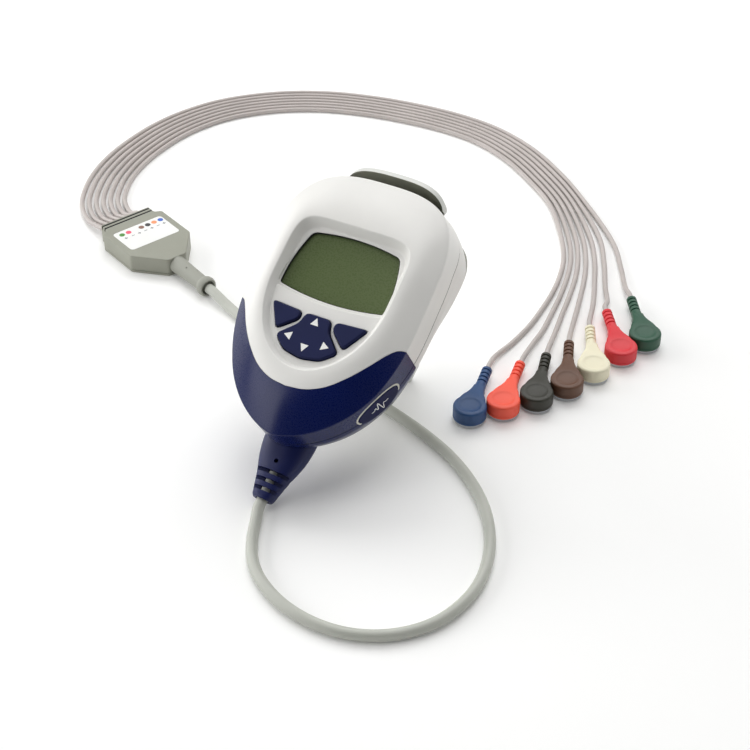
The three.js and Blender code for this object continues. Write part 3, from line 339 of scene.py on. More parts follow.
# Colour, second colour of the cloudiness, roughness, grain and its depth in millimetres, and IOR. Real
# spark-eroded grain is about 0.1 mm, and it is drawn at 0.2 to 0.5 mm so that it shows.
plastics = {
    "whiteAbs": ("#E9E8E4", "#E5E4E0", 0.4, 0.3, 0.004),  # moulded ABS: warm white with a satin sheen
    "navyAbs": ("#0C1950", "#0B174B", 0.28, 0.35, 0.0015, 1.36),  # smoother ABS: deep navy, soft reflections
    "greyAbs": ("#A3A49B", "#9B9C93", 0.48, 0.4, 0.008),  # textured ABS: a flat greenish grey
    "clipAbs": ("#D9DAD5", "#D4D5D0", 0.42, 0.4, 0.008),  # textured ABS: a pale grey
    "scoopAbs": ("#8C8D80", "#858679", 0.5, 0.4, 0.008),  # rougher ABS in painted shade: a darker olive grey for the lever's hollow, which lies in shade
    "yokeAbs": ("#999A8D", "#929386", 0.5, 0.4, 0.01),  # textured ABS: olive grey and matt
    "innerAbs": ("#3E4145", "#383B3F", 0.55, 0.4, 0.006),  # plain ABS of hidden parts: dark grey
    "keySilicone": ("#121A46", "#101840", 0.6, 0.25, 0.006, 1.3),  # moulded silicone: matt navy
    "eventSilicone": ("#0D1242", "#0B103B", 0.55, 0.25, 0.006, 1.25),  # moulded silicone: darker navy
    "navySleeve": ("#101B54", "#0E184C", 0.45, 0.3, 0.008, 1.42),  # overmoulded TPE: navy with a soft sheen
    "yokeSleeve": ("#9C9D93", "#95968C", 0.55, 0.35, 0.01),  # overmoulded TPE: a matt grey
    "ringCream": ("#DCDACF", "#D6D4C8", 0.45, 0.3, 0.006),  # moulded ABS: cream
    "sealRubber": ("#45362B", "#3D3026", 0.75, 0.3, 0.006),  # moulded rubber: a dull brown line
    "seamRubber": ("#14141C", "#101018", 0.8, 0.3, 0.006),  # moulded rubber, nearly black and without shine: the parting seal below the navy and the strips in the yoke's grooves, and painted shade lining the screen's opening
    "printWhite": ("#F1F1EE", "#ECECE8", 0.5, 0.2, 0.002),  # screen print: opaque white
    "labelFilm": ("#F3F3F1", "#EFEFEC", 0.35, 0.3, 0.001),  # polyester film: clean white, smooth
    "boardEpoxy": ("#1F5F3A", "#1B5434", 0.5, 0.5, 0.006),  # epoxy board under solder mask: green
    "cellWrap": ("#3A3F46", "#33373D", 0.35, 0.4, 0.006),  # shrunk film on the cells: smooth dark grey
    "trunkPvc": ("#BDBFB6", "#B7B9B0", 0.45, 0.5, 0.01),  # extruded PVC: pale grey with a soft sheen
    "leadPvc": ("#C0B8B4", "#BAB2AE", 0.45, 0.4, 0.006),  # extruded PVC: a warmer pale grey
}
# Moulded TPE of the snaps: full colours with a soft, even sheen
snapColours = {
    "blue": ("#1F4A7E", "#1B4474"), "orange": ("#FF5C42", "#FA543C"), "black": ("#2C2B1F", "#27261B"),
    "brown": ("#64412B", "#5B3A26"), "ivory": ("#F4EED2", "#EEE8CB"), "red": ("#E3303A", "#DA2A34"),
    "green": ("#245840", "#1F4F39"),
}
# Printing ink on the label: flat and even
inkColours = {
    "blue": "#3D68C8", "orange": "#F59A68", "black": "#3A3A3C", "brown": "#8C6757", "red": "#EE5A74",
    "green": "#4F8F3A", "sign": "#77777C",
}
plastics |= {name + "Tpe": (*pair, 0.5, 0.35, 0.01) for name, pair in snapColours.items()}
plastics |= {name + "Ink": (colour, colour, 0.5, 0.2, 0.001) for name, colour in inkColours.items()}


def mouldedPlastic(name, colour, shade, roughness, grain, depth, ior=1.53):
    # an even colour with a faint cloudiness, and a fine grain that breaks up the highlights
    material, shader, place = newMaterial(name, IOR=ior)
    cloud = addNode(material, "TexNoise", {"Vector": place, "Scale": 1 / 0.022, "Detail": 3.0})
    tint = addNode(material, "MapRange", {"Value": cloud, "From Min": 0.35, "From Max": 0.65})
    addNode(material, "Mix", {0: tint, 6: hexColour(colour), 7: hexColour(shade)}, shader["Base Color"], 2,
            data_type="RGBA")
    texture = addNode(material, "TexNoise", {"Vector": place, "Scale": 1 / (grain * 0.001), "Detail": 2.0})
    spread = {"From Min": 0.3, "From Max": 0.7, "To Min": roughness - 0.04, "To Max": roughness + 0.05}
    addNode(material, "MapRange", {"Value": texture, **spread}, shader["Roughness"])
    relief = {"Distance": depth * 0.001, "Strength": 0.6}
    addNode(material, "Bump", {"Height": texture, **relief}, shader["Normal"])


def nickelSteel():
    # nickel plated sheet steel: a bright metal with fine lines from rolling. Real ones are finer than
    # 0.1 mm, and these are drawn at 0.13 mm so that they show.
    material, shader, place = newMaterial("nickelSteel", Metallic=1.0, Base_Color=hexColour("#B9BCC0"))
    stretch = addNode(material, "Mapping", {"Vector": place, "Scale": (200.0, 8000.0, 8000.0)})
    lines = addNode(material, "TexNoise", {"Vector": stretch, "Scale": 1.0, "Detail": 2.0})
    addNode(material, "MapRange", {"Value": lines, "To Min": 0.22, "To Max": 0.38}, shader["Roughness"])


def displayAcrylic():
    # liquid crystal under clear acrylic: a flat olive green that shows soft reflections
    material, shader, place = newMaterial("displayAcrylic", IOR=1.49, Coat_Weight=0.5, Coat_Roughness=0.08)
    fleck = addNode(material, "TexNoise", {"Vector": place, "Scale": 1 / 0.0007, "Detail": 2.0})
    tint = addNode(material, "MapRange", {"Value": fleck, "From Min": 0.3, "From Max": 0.7})
    addNode(material, "Mix", {0: tint, 6: hexColour("#596741"), 7: hexColour("#5A6741")},
            shader["Base Color"], 2, data_type="RGBA")
    addNode(material, "MapRange", {"Value": fleck, "To Min": 0.26, "To Max": 0.29}, shader["Roughness"])


for name, values in plastics.items():
    mouldedPlastic(name, *values)
nickelSteel()
displayAcrylic()
print("materials made")

# Camera
camera = bpy.data.objects.new("camera", bpy.data.cameras.new("camera"))
bpy.context.collection.objects.link(camera)
camera.location = (0.2806, -0.4697, 0.4426)
camera.rotation_euler = (Vector((-0.0035, 0.0323, 0)) - camera.location).to_track_quat("-Z", "Y").to_euler()
camera.data.lens = 81.6
camera.data.sensor_width = 36
camera.data.clip_start = 0.01
bpy.context.scene.camera = camera

# Table and light: a pale table under soft boxes, the brightest of them at the left
studio = {
    "tableColour": "#FBFBFA", "tableGlow": 0.06, "worldStrength": 0.03, "aim": (0, 0.05, 0.02), "size": 1.0,
    "lights": {
        "overheadBox": ((0, 0.05, 1.62), 7.2), "backLeftBox": ((-0.73, 0.78, 1.25), 8.2),
        "backBox": ((0, 1.08, 1.25), 7.2), "frontLeftBox": ((-1.06, -1.01, 0.57), 10.4),
        "leftBox": ((-1.5, 0.05, 0.57), 11.0), "rightBox": ((1.03, 0.05, 1.25), 1.0),
        "lowRightBox": ((1.5, 0.05, 0.57), 2.6), "lowBackRightBox": ((1.06, 1.11, 0.57), 2.6),
        "lowBackBox": ((0, 1.55, 0.57), 2.5),
    },
}


def makeTable():
    # matt white paper that glows a little, as an overexposed background does
    clearSelection()
    bpy.ops.mesh.primitive_plane_add(size=8, location=(0, 0, 0))
    table = bpy.context.object
    table.name = "table"
    material = newMaterial("tablePaper", Base_Color=hexColour(studio["tableColour"]), Roughness=0.7,
                           Emission_Color=(1, 1, 1, 1), Emission_Strength=studio["tableGlow"])[0]
    table.data.materials.append(material)


def makeLights():
    world = bpy.data.worlds.new("studio")
    bpy.context.scene.world = world
    world.use_nodes = True
    background = world.node_tree.nodes["Background"].inputs
    background["Color"].default_value = (1, 1, 1, 1)
    background["Strength"].default_value = studio["worldStrength"]
    for name, (place, power) in studio["lights"].items():
        light = bpy.data.objects.new(name, bpy.data.lights.new(name, "AREA"))
        bpy.context.collection.objects.link(light)
        light.data.size = studio["size"]
        light.data.energy = power
        light.location = place
        aim = Vector(studio["aim"]) - light.location
        light.rotation_euler = aim.to_track_quat("-Z", "Y").to_euler()


makeTable()
makeLights()
bpy.context.scene.view_settings.view_transform = "Standard"

# Cords. Their points are in millimetres on the table, apart from those inside the plug and at the yoke.
trunk = {
    "radius": 0.0023,
    "inPlug": [(0, -9.9, 6.8), (0, -15.6, 6.8), (0, -20.1, 6.8)],
    "route": [
        (0.5, -65.8, 2.9), (3.2, -72.1, 2.5), (8.6, -83.2, 2.45), (15.7, -93.2, 2.45), (25.1, -100.5, 2.45),
        (36.6, -105.7, 2.45), (49.6, -108, 2.45), (62, -106.9, 2.45), (72.6, -102.7, 2.45), (81.4, -96, 2.45),
        (88.3, -86.7, 2.45), (92.2, -75.3, 2.45), (93.2, -62.9, 2.45), (91, -50.3, 2.45), (86.2, -38, 2.45),
        (79.4, -26.9, 2.45), (71.1, -17.4, 2.45), (61.5, -9.2, 2.45), (50.6, -2.1, 2.45), (38.3, 3.7, 2.45),
        (26.2, 8.2, 2.45), (12, 12.5, 2.45), (-4, 15.9, 2.45), (-21, 18.9, 2.45), (-39, 23.5, 2.45),
        (-57, 30.1, 2.45), (-74, 36.7, 2.45), (-84.5, 40.8, 3.2),
    ],
    "intoYoke": [(74, 0, 4.7), (70.3, 0, 4.7)],
}
leads = {
    "radius": 0.00115, "lowZ": 1.27, "pitchStart": 3.5, "pitchEnd": 2.9, "startRise": 0.8, "endRise": 0.9,
    "outOfYoke": [(-0.3, 4.5), (-5, 4.0)],
    "bundle": [
        (-176, 76.4), (-187.4, 86.3), (-194.6, 98.8), (-199.4, 112.3), (-202, 127.3), (-202.4, 142.3),
        (-201, 159.3), (-196.4, 176.9), (-188, 193.9), (-176.6, 207.5), (-162.4, 219.3), (-144.4, 229.1),
        (-124.4, 235.6), (-103.6, 239.5), (-78, 241.3), (-54, 238.7), (-30.6, 229.5), (-8.4, 214.7),
        (10.4, 198.6),
    ],
    "tails": {
        "blue": [(21.8, 167.9), (30, 152.5), (34.4, 138.9), (37.4, 123.3), (38.8, 108), (39.3, 95.1),
                 (38.2, 80.3), (36.6, 66.8)],
        "orange": [(24.7, 169.7), (33, 153.9), (37.6, 140.3), (41.2, 124.5), (43.8, 109.3), (45.8, 95.8),
                   (46.8, 82.3)],
        "black": [(27.6, 171.4), (36.2, 154.9), (41.2, 141.1), (45.2, 125.1), (48.5, 109.3), (51.8, 95.3)],
        "brown": [(30.6, 173), (39.6, 156.3), (45.4, 141.7), (50.3, 125.3), (54.6, 110.3)],
        "ivory": [(33.9, 174.5), (43.4, 157.9), (50.5, 141.7), (57.2, 124.7)],
        "red": [(38.2, 175.9), (48.6, 157.1), (56.6, 139.9), (62.2, 128.8)],
        "green": [(45.2, 175.7), (56.8, 157.7), (65.4, 142.5)],
    },
    "snaps": {
        "blue": ((45.2, 25.5), (38.9, 53.9)), "orange": ((55.3, 36.1), (48.6, 68.3)),
        "black": ((65.1, 47.6), (56.1, 77.1)), "brown": ((72.6, 61.6), (59.9, 92.3)),
        "ivory": ((77.9, 77.3), (63.6, 105.8)), "red": ((83.2, 94.3), (66.6, 118.2)),
        "green": ((88.4, 108.7), (72.2, 132.9)),
    },
    "snapAxisZ": 3.7, "sleeveLength": 30, "intoSleeve": (4, 0.3),
}


def makeCord(name, points, radius, material, node):
    route = smoothRoute(points)
    curve = bpy.data.curves.new(name, "CURVE")
    curve.dimensions = "3D"
    curve.bevel_depth = radius
    curve.bevel_resolution = 5
    curve.use_fill_caps = True
    spline = curve.splines.new("POLY")
    spline.points.add(len(route) - 1)
    for spot, point in zip(spline.points, route):
        spot.co = (*point, 1)
    curve.materials.append(bpy.data.materials[material])
    obj = bpy.data.objects.new(name, curve)
    bpy.context.collection.objects.link(obj)
    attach(obj, "recorder")
    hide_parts(node)
    return obj, route, sum((b - a).length for a, b in zip(route, route[1:]))


def trunkPoints():
    places = ((recorderPlace, "inPlug"), (tableScale, "route"), (yokePlace, "intoYoke"))
    return [place @ Vector(point) for place, part in places for point in trunk[part]]


def leadPoints(name, index):
    # the seven leads leave the yoke side by side and keep their order along the bundle
    centre = [Vector(point) for point in leads["bundle"]]
    place = 3 - index
    points = [yokePlace @ Vector((x, place * leads["pitchStart"], z)) for x, z in leads["outOfYoke"]]
    onTable = []
    for i, point in enumerate(centre):
        ahead = directionAt(centre, i)
        pitch = mix(leads["pitchStart"], leads["pitchEnd"], i / (len(centre) - 1))
        onTable.append(point + Vector((ahead.y, -ahead.x)) * pitch * place)
    onTable += leads["tails"][name]
    heights = [leads["lowZ"]] * len(onTable)
    heights[0] += leads["startRise"]
    heights[-1] += leads["endRise"]
    points += [tableScale @ Vector((*point, z)) for point, z in zip(onTable, heights)]
    head, end = (Vector((*point, leads["snapAxisZ"])) for point in leads["snaps"][name])
    direction = (end - head).normalized()
    ends = [leads["sleeveLength"] + reach for reach in leads["intoSleeve"]]
    return points + [tableScale @ (head + direction * end) for end in ends]


trunkCord = makeCord("trunkCord", trunkPoints(), trunk["radius"], "trunkPvc", "trunk_cable")
leadCords = {
    name: makeCord(name + "Lead", leadPoints(name, index), leads["radius"], "leadPvc",
                   "lead_" + name)
    for index, name in enumerate(leads["snaps"])
}
print("cords made")

# Case of the recorder in millimetres, seen from the front: x across, y up its length, z from back to front
case = {
    "steps": 168, "hubY": 58.0, "wall": 2.0,
    "outline": {"halfWidth": 37.8, "widestY": 66.0, "top": (44.2, 3.0, 3.3), "bottom": (66.0, 1.6, 2.75)},
    "recess": {"halfWidth": 25.6, "widestY": 60.0, "top": (26.8, 6.5, 6.5), "bottom": (34.6, 1.95, 2.0)},
    "partingZ": (15.0, 17.0), "partingY": (45.0, 80.0), "partingHalfGap": 0.2, "edgeRound": 0.2,
    "crestZ": (25.0, 30.3), "rimZ": (33.6, 35.0), "crestY": (25.0, 75.0), "crestRound": (0.7, 1.6),
    "crestRoundY": (40, 75), "innerRound": 1.2, "rimRound": 0.5, "rimDrop": 1.05, "footRise": 0.42,
    "recessSlope": 2.8, "screenFloorZ": 30.6, "keypadFloorZ": 31.6, "floorUnderZ": 29.4,
    "flareWidth": 1.4, "flareY": (84.0, 96.0), "shoulderX": (14.0, 24.0), "shoulderY": (60.0, 95.0),
    "rearProfile": [(9, 0), (6, 0.7), (3.8, 3), (1.9, 7), (0.1, 12), (0, 14)],
    "shoulderProfile": [(3.2, 0), (1.7, 0.7), (0.7, 3), (0.2, 7), (0, 12), (0, 14)],
    "trimLine": [(40.5, 47.6), (37.2, 47.5), (34.6, 46.2), (31.9, 42.8), (27.4, 35.8), (21.8, 28.7),
                 (14.8, 22.3), (7.6, 18.9), (0, 17.8)],
    "trimSeam": 0.06,
}


def eggRadius(egg, angle):
    low, high = 0.0, 200.0
    for _ in range(40):
        middle = (low + high) / 2
        x = middle * math.cos(angle)
        y = case["hubY"] + middle * math.sin(angle) - egg["widestY"]
        reach, across, along = egg["top"] if y > 0 else egg["bottom"]
        outside = abs(x / egg["halfWidth"]) ** across + abs(y / reach) ** along > 1
        low, high = (low, middle) if outside else (middle, high)
    return low


caseAngles = [math.tau * i / case["steps"] for i in range(case["steps"])]
caseRadii = [eggRadius(case["outline"], angle) for angle in caseAngles]
recessRadii = [eggRadius(case["recess"], angle) for angle in caseAngles]
edgeSpots = [(radius * math.cos(angle), case["hubY"] + radius * math.sin(angle))
             for radius, angle in zip(caseRadii, caseAngles)]
flaredRadii = [radius + case["flareWidth"] * ease(*case["flareY"], y)
               for radius, (x, y) in zip(caseRadii, edgeSpots)]
shoulders = [ease(*case["shoulderY"], y) * ease(*case["shoulderX"], abs(x)) for x, y in edgeSpots]


def crestAt(y):
    lowY, highY = case["crestY"]
    return mix(*case["crestZ"], clamp((y - lowY) / (highY - lowY)))


def rimAt(y):
    lowY, highY = case["crestY"]
    return mix(*case["rimZ"], clamp((y - lowY) / (highY - lowY)))


def partingAt(y):
    return mix(*case["partingZ"], ease(*case["partingY"], y))


def caseSpot(radius, angle, heightAt):
    y = case["hubY"] + radius * math.sin(angle)
    return Vector((radius * math.cos(angle), y, heightAt(y) if callable(heightAt) else heightAt))


def caseRing(radii, heightAt):
    return [caseSpot(radius, angle, heightAt) for radius, angle in zip(radii, caseAngles)]


def inset(radii, amount):
    return [radius - amount for radius in radii]


def crestSteps():
    # at each angle: the crest's round, where the dome begins and ends, and how steeply it begins
    for angle, caseRadius, recessRadius, (_, y) in zip(caseAngles, caseRadii, recessRadii, edgeSpots):
        round_ = mix(*case["crestRound"], ease(*case["crestRoundY"], y))
        start, end = caseRadius - round_, recessRadius + case["rimRound"]
        yield angle, round_, start, end, math.atan((rimAt(y) - crestAt(y)) * math.pi / 2 / (start - end))


def domeRing(share, sink=0.0):
    # between the rounded crest of the side wall and the rim of the recess
    ring = []
    rise = math.sin(share * math.pi / 2)
    for angle, round_, start, end, steep in crestSteps():
        lead = (1 - share) ** 3 * round_
        drop = lead * (1 - math.cos(steep)) + sink
        ring.append(caseSpot(mix(start, end, share) + lead * math.sin(steep), angle,
                             lambda y: mix(crestAt(y), rimAt(y), rise) - drop))
    return ring


def crestRing(share):
    ring = []
    for angle, round_, start, _, steep in crestSteps():
        turn = share * (math.pi / 2 - steep)
        ring.append(caseSpot(start + round_ * math.cos(turn), angle,
                             lambda y: crestAt(y) - round_ * (1 - math.sin(turn))))
    return ring


def frontShellRings():
    gap, edge, wall, soft = (case[key] for key in ("partingHalfGap", "edgeRound", "wall", "rimRound"))
    slope, floorZ, drop = case["recessSlope"], case["screenFloorZ"], case["rimDrop"]
    crestFoot, inner = case["crestRound"][1], case["innerRound"]
    rings = [caseRing(inset(flaredRadii, edge * (1 - up)), lambda y: partingAt(y) + gap + edge * across)
             for across, up in roundSteps(3)]
    for share in (0.35, 0.7):
        radii = [mix(low, high, share) for low, high in zip(flaredRadii, caseRadii)]
        rings.append(caseRing(radii, lambda y: mix(partingAt(y), crestAt(y) - crestFoot, share)))
    rings += [crestRing(step / 5) for step in range(5)]
    rings += [domeRing(step / 16) for step in range(17)]
    for share in (0.25, 0.5, 0.75, 1.0):
        # a soft bend from the dome into the slope of the recess
        inwards = mix(mix(-soft, -0.1, share), mix(-0.1, 0.5, share), share)
        rings.append(caseRing(inset(recessRadii, inwards), lambda y: rimAt(y) - drop * share * share))
    nearFoot = 0.7
    rings.append(caseRing(inset(recessRadii, slope - nearFoot),
                          lambda y: mix(floorZ, rimAt(y) - drop, nearFoot / (slope - soft))))
    for share in (0.0, 0.35, 0.7, 1.0):
        # and a soft foot where the slope meets the floor
        rings.append(caseRing(inset(recessRadii, slope - 0.35 + 0.75 * share),
                              floorZ + case["footRise"] * (1 - share) ** 2))
    rings += [caseRing(inset(recessRadii, amount), case["floorUnderZ"]) for amount in (slope + 0.4, -soft)]
    rings += [domeRing(share, wall) for share in (0.8, 0.5, 0.2)]
    rings.append(caseRing(inset(caseRadii, wall + inner), lambda y: crestAt(y) - wall))
    rings.append(caseRing(inset(caseRadii, wall), lambda y: crestAt(y) - wall - inner))
    rings.append(caseRing(inset(flaredRadii, wall), lambda y: partingAt(y) + gap))
    return rings


# Inset and height up the rear shell, round most of the case and at the two shoulders of its top end
rearSteps = list(zip(smoothRoute(case["rearProfile"], 4), smoothRoute(case["shoulderProfile"], 4)))


def rearRing(low, high, wall=0.0):
    return [caseSpot(radius - mix(low.x, high.x, share) - wall, angle, mix(low.y, high.y, share) + wall)
            for radius, share, angle in zip(flaredRadii, shoulders, caseAngles)]


def rearShellRings():
    gap, edge, wall = case["partingHalfGap"], case["edgeRound"], case["wall"]
    inside = [rearRing(low, high, wall) for low, high in rearSteps if low.y + wall < rearSteps[-1][0].y]
    inside.append(caseRing(inset(flaredRadii, wall), lambda y: partingAt(y) - gap))
    lip = [caseRing(inset(flaredRadii, edge * (1 - up)), lambda y: partingAt(y) - gap - edge * across)
           for across, up in roundSteps(3)]
    return inside + lip + [rearRing(low, high) for low, high in reversed(rearSteps)]


def trimTool(grow):
    edge = smoothRoute(case["trimLine"], 8)
    grown = []
    for i, point in enumerate(edge):
        ahead = directionAt(edge, i)
        grown.append(point + Vector((ahead.y, -ahead.x)) * grow)
    grown[-1].x = 0
    far = grown[0].x
    outline = [(-far, -far), (far, -far), *grown, *[(-p.x, p.y) for p in grown[-2::-1]]]
    return prismBody("trimTool", outline, -12, 60)


def splitTrim(shell, trimName):
    # the two colours of one half of the case, with a hair-thin seam between them
    trim = cut(duplicate(shell, trimName), trimTool(-case["trimSeam"]), operation="INTERSECT")
    cut(shell, trimTool(case["trimSeam"]))
    return trim


# Openings in the recess
screen = {
    "topX": 19.5, "topY": 81.4, "lowX": 23.2, "lowY": 57.4, "topBulge": 2.1, "lowBulge": 2.5,
    "sideBulge": 1.3, "topRound": 1.9, "lowRound": 1.1, "edgeRound": 0.4, "panelStep": 1.4,
    # the last three place the dark lining of painted shade in the screen's opening
    "stepRound": 0.4, "shadeGap": 0.02, "gasketWidth": 0.14, "shadeBelow": 0.3,
}
keys = {
    "soft": [(21.1, 49.0), (8.0, 48.1), (7.5, 44.9), (14.9, 38.6)], "softRound": 1.9,
    "nav": [(-5.4, 48.1), (5.4, 48.1), (6.6, 43.1), (13.6, 36.3), (8.2, 31.6), (0, 30.1), (-8.2, 31.6),
            (-13.6, 36.3), (-6.6, 43.1)], "navRound": 2.0,
    "gap": 0.3, "topZ": 33.1, "thickness": 3.2, "edgeRound": 0.6, "openingRound": 0.3,
    "arrows": [((0, 45.4), 90), ((-8.3, 37.1), 180), ((0, 34.2), 270), ((8.1, 37.2), 0)],
    "arrowSize": 1.75, "arrowRound": 0.18, "printHeight": 0.05, "printSink": 0.1,
    "seatY": 40.0, "seatRadius": 2.75, "seatDepth": 1.2,
}


def bend(start, middle, end, share):
    return start * (1 - share) ** 2 + middle * 2 * share * (1 - share) + end * share ** 2


def screenOutline(grow, steps=10):
    # four bowed sides that meet in round corners, counterclockwise from the upper left corner
    topX, lowX = screen["topX"] + grow, screen["lowX"] + grow
    topY, lowY = screen["topY"] + grow, screen["lowY"] - grow
    sideX, middleY = (topX + lowX) / 2 + 2 * screen["sideBulge"], (topY + lowY) / 2
    corners = [Vector(spot) for spot in ((-topX, topY), (-lowX, lowY), (lowX, lowY), (topX, topY))]
    rounds = [screen[key] + grow for key in ("topRound", "lowRound", "lowRound", "topRound")]
    bows = [Vector(spot) for spot in ((-sideX, middleY), (0, lowY - 2 * screen["lowBulge"]), (sideX, middleY),
                                      (0, topY + 2 * screen["topBulge"]))]
    outline = []
    for i, (corner, bow) in enumerate(zip(corners, bows)):
        following, nextBow, after = corners[(i + 1) % 4], bows[(i + 1) % 4], corners[(i + 2) % 4]
        nextRound = rounds[(i + 1) % 4]
        span = (following - corner).length
        start, end = rounds[i] / span, 1 - nextRound / span
        outline += [bend(corner, bow, following, mix(start, end, step / steps)) for step in range(steps + 1)]
        a, b = outline[-1], bend(following, nextBow, after, nextRound / (after - following).length)
        outline += [bend(a, following, b, step / 6) for step in range(1, 6)]
    return outline


def panelStepTool():
    # everything above the step between the screen and the keypad panel; it opens towards the top face
    lowX, bulge, far = screen["lowX"], screen["lowBulge"], 40
    sideY = screen["lowY"] - screen["panelStep"]
    endY = sideY + 2 * bulge / lowX * (far - lowX)
    shares = [step / 24 for step in range(25)]
    bow = [(mix(-lowX, lowX, share), sideY - 4 * bulge * share * (1 - share)) for share in shares]
    line = [(-far, endY), *bow, (far, endY)]

    def outlineAt(grow):
        return [Vector((x, y - grow)) for x, y in line] + [Vector((far, 120)), Vector((-far, 120))]

    return flaredTool(outlineAt, case["floorUnderZ"] - 1, case["keypadFloorZ"], screen["stepRound"])


def recessFloor(name, amount, topZ):
    return ringBody(name, [caseRing(inset(recessRadii, amount), z) for z in (case["floorUnderZ"], topZ)])


def recessTools():
    # the openings of the screen and of the three keys
    under = case["floorUnderZ"] - 1
    yield flaredTool(screenOutline, under, case["screenFloorZ"], screen["edgeRound"])
    mirrored = [(-x, y) for x, y in keys["soft"]]
    for corners, round_ in ((keys["soft"], keys["softRound"]), (mirrored, keys["softRound"]),
                            (keys["nav"], keys["navRound"])):
        yield flaredTool(lambda grow: roundedOutline(corners, round_, keys["gap"] + grow), under,
                         case["keypadFloorZ"], keys["openingRound"])


# Event button: an oval in the right side wall, across the parting line
eventButton = {
    "y": 27.0, "z": 16.5, "halfLength": 11.0, "halfHeight": 6.4, "gap": 0.12, "ringWidth": 0.75, "steps": 72,
    "ringFromZ": 14.2, "ringRise": 0.14, "ringDepth": 1.5, "proud": 0.35, "depth": 1.7, "edgeRound": 0.3,
    "pulse": [(-4.2, 0.1), (-2.9, 0.1), (-2.1, 1.2), (-1.3, -0.8), (-0.3, 3.4), (1.0, -3.0), (2.0, 0.7),
              (2.8, 0.1), (4.4, 0.1)],
    "pulseWidth": 0.36, "pulseSection": [(1, -0.05), (1, 0.05), (-1, 0.05), (-1, -0.05)],
}
eventTurns = [math.tau * step / eventButton["steps"] for step in range(eventButton["steps"])]


def eventFrame():
    egg = case["outline"]
    reach, across, along = egg["bottom"]
    share = (egg["widestY"] - eventButton["y"]) / reach
    x = egg["halfWidth"] * (1 - share ** along) ** (1 / across)
    slopeX = across / egg["halfWidth"] * (x / egg["halfWidth"]) ** (across - 1)
    slopeY = -along / reach * share ** (along - 1)
    outwards = Vector((slopeX, slopeY, 0)).normalized()
    up = Vector((0, 0, 1))
    turn = Matrix((up.cross(outwards), up, outwards)).transposed()
    return turn, Vector((x, eventButton["y"], eventButton["z"]))


eventTurn, eventCentre = eventFrame()


def wallInset(z):
    for (a, _), (b, _) in zip(rearSteps, rearSteps[1:]):
        if a.y <= z <= b.y:
            return mix(a.x, b.x, (z - a.y) / (b.y - a.y))
    return 0.0


def onWall(along, up, proud):
    # the point of the side wall behind a place on the oval, moved outwards
    inwards = wallInset(eventCentre.z + up)
    low, high = -9.0, 9.0
    for _ in range(24):
        out = (low + high) / 2
        spot = eventCentre + eventTurn @ Vector((along, 0, out))
        side = Vector((spot.x, spot.y - case["hubY"]))
        outside = side.length > eggRadius(case["outline"], math.atan2(side.y, side.x)) - inwards
        low, high = (low, out) if outside else (out, high)
    return eventCentre + eventTurn @ Vector((along, up, low + proud))


def ovalRing(halfLength, halfHeight, proud):
    return [onWall(halfLength * math.cos(turn), halfHeight * math.sin(turn), proud) for turn in eventTurns]


def ovalTool():
    length, height = (eventButton[key] + eventButton["gap"] for key in ("halfLength", "halfHeight"))
    outline = [(math.cos(turn) * length, math.sin(turn) * height) for turn in eventTurns]
    return moved(prismBody("ovalTool", outline, -6, 6), Matrix.Translation(eventCentre) @ eventTurn.to_4x4())


# Plug: its profile is place along the recorder, half width and half thickness
plug = {
    "axisZ": 6.8, "tipY": -21.6, "softness": 0.8, "steps": 64,
    "profile": [(14, 10.6, 5.9), (5, 10.7, 6.2), (-1, 10.1, 6.1), (-6, 8.9, 5.6), (-11, 7.2, 4.8),
                (-16, 5.8, 4.2), (-20.6, 4.5, 3.9), (-21.6, 3.9, 3.5)],
    "openingStart": (14.4, 10.9, 5.9), "openingGap": 0.3,
    "slots": [-10.9, -14.4, -17.9], "slotWidth": 1.6, "slotFloor": 1.45,
    "eyeX": 0.7, "eyeY": -6.3, "eyeRadius": 0.9, "eyeFloorZ": 10.6,
    "bore": [(2.95, -1), (2.9, 0), (2.65, 1.5), (2.6, 12)],
}


def plugBody(name, profile, steps, grow=0.0):
    turns = [math.tau * step / plug["steps"] for step in range(plug["steps"])]

    def soften(value):
        return math.copysign(abs(value) ** plug["softness"], value)

    return ringBody(name, [
        [Vector(((halfWidth + grow) * soften(math.cos(turn)), y,
                 plug["axisZ"] + (thick + grow) * soften(math.sin(turn)))) for turn in turns]
        for y, halfWidth, thick in smoothRoute(profile, steps)])


def plugOpeningTool():
    return plugBody("plugTool", [plug["openingStart"], *plug["profile"][:5]], 4, plug["openingGap"])


# The two shells
frontShell = ringBody("frontShell", frontShellRings(), closed=True)
slope = case["recessSlope"]
cut(frontShell, recessFloor("bezel", slope + 0.1, case["screenFloorZ"] - 0.004),
    cut(recessFloor("panel", slope / 2, case["keypadFloorZ"]), panelStepTool()), operation="UNION")
cut(frontShell, *recessTools(), ovalTool())
frontTrim = splitTrim(frontShell, "frontTrim")
finishPiece(smooth(frontShell, 32, True), recorderPlace, "whiteAbs", "white_shell", "front_housing")
finishPiece(smooth(frontTrim, 32, True), recorderPlace, "navyAbs", "navy_shell", "front_lower_trim")
print("front shell made")

# Screws that close the case from the back
screw = {
    "spots": [(-22, 97), (22, 97), (-17, 17.5), (17, 17.5)], "headRadius": 2.6, "headHeight": 1.6,
    "sink": 1.2, "dome": [(0.35, -0.02), (0.7, 0.06), (0.9, 0.24), (1, 0.6)],
    "shaftRadius": 1.2, "length": 22.0, "tipLength": 1.5, "tipRadius": 0.3, "wellRadius": 2.95,
    "crossWidth": 0.55, "crossLength": 2.9, "crossDepth": 0.9, "turn": 37,
}


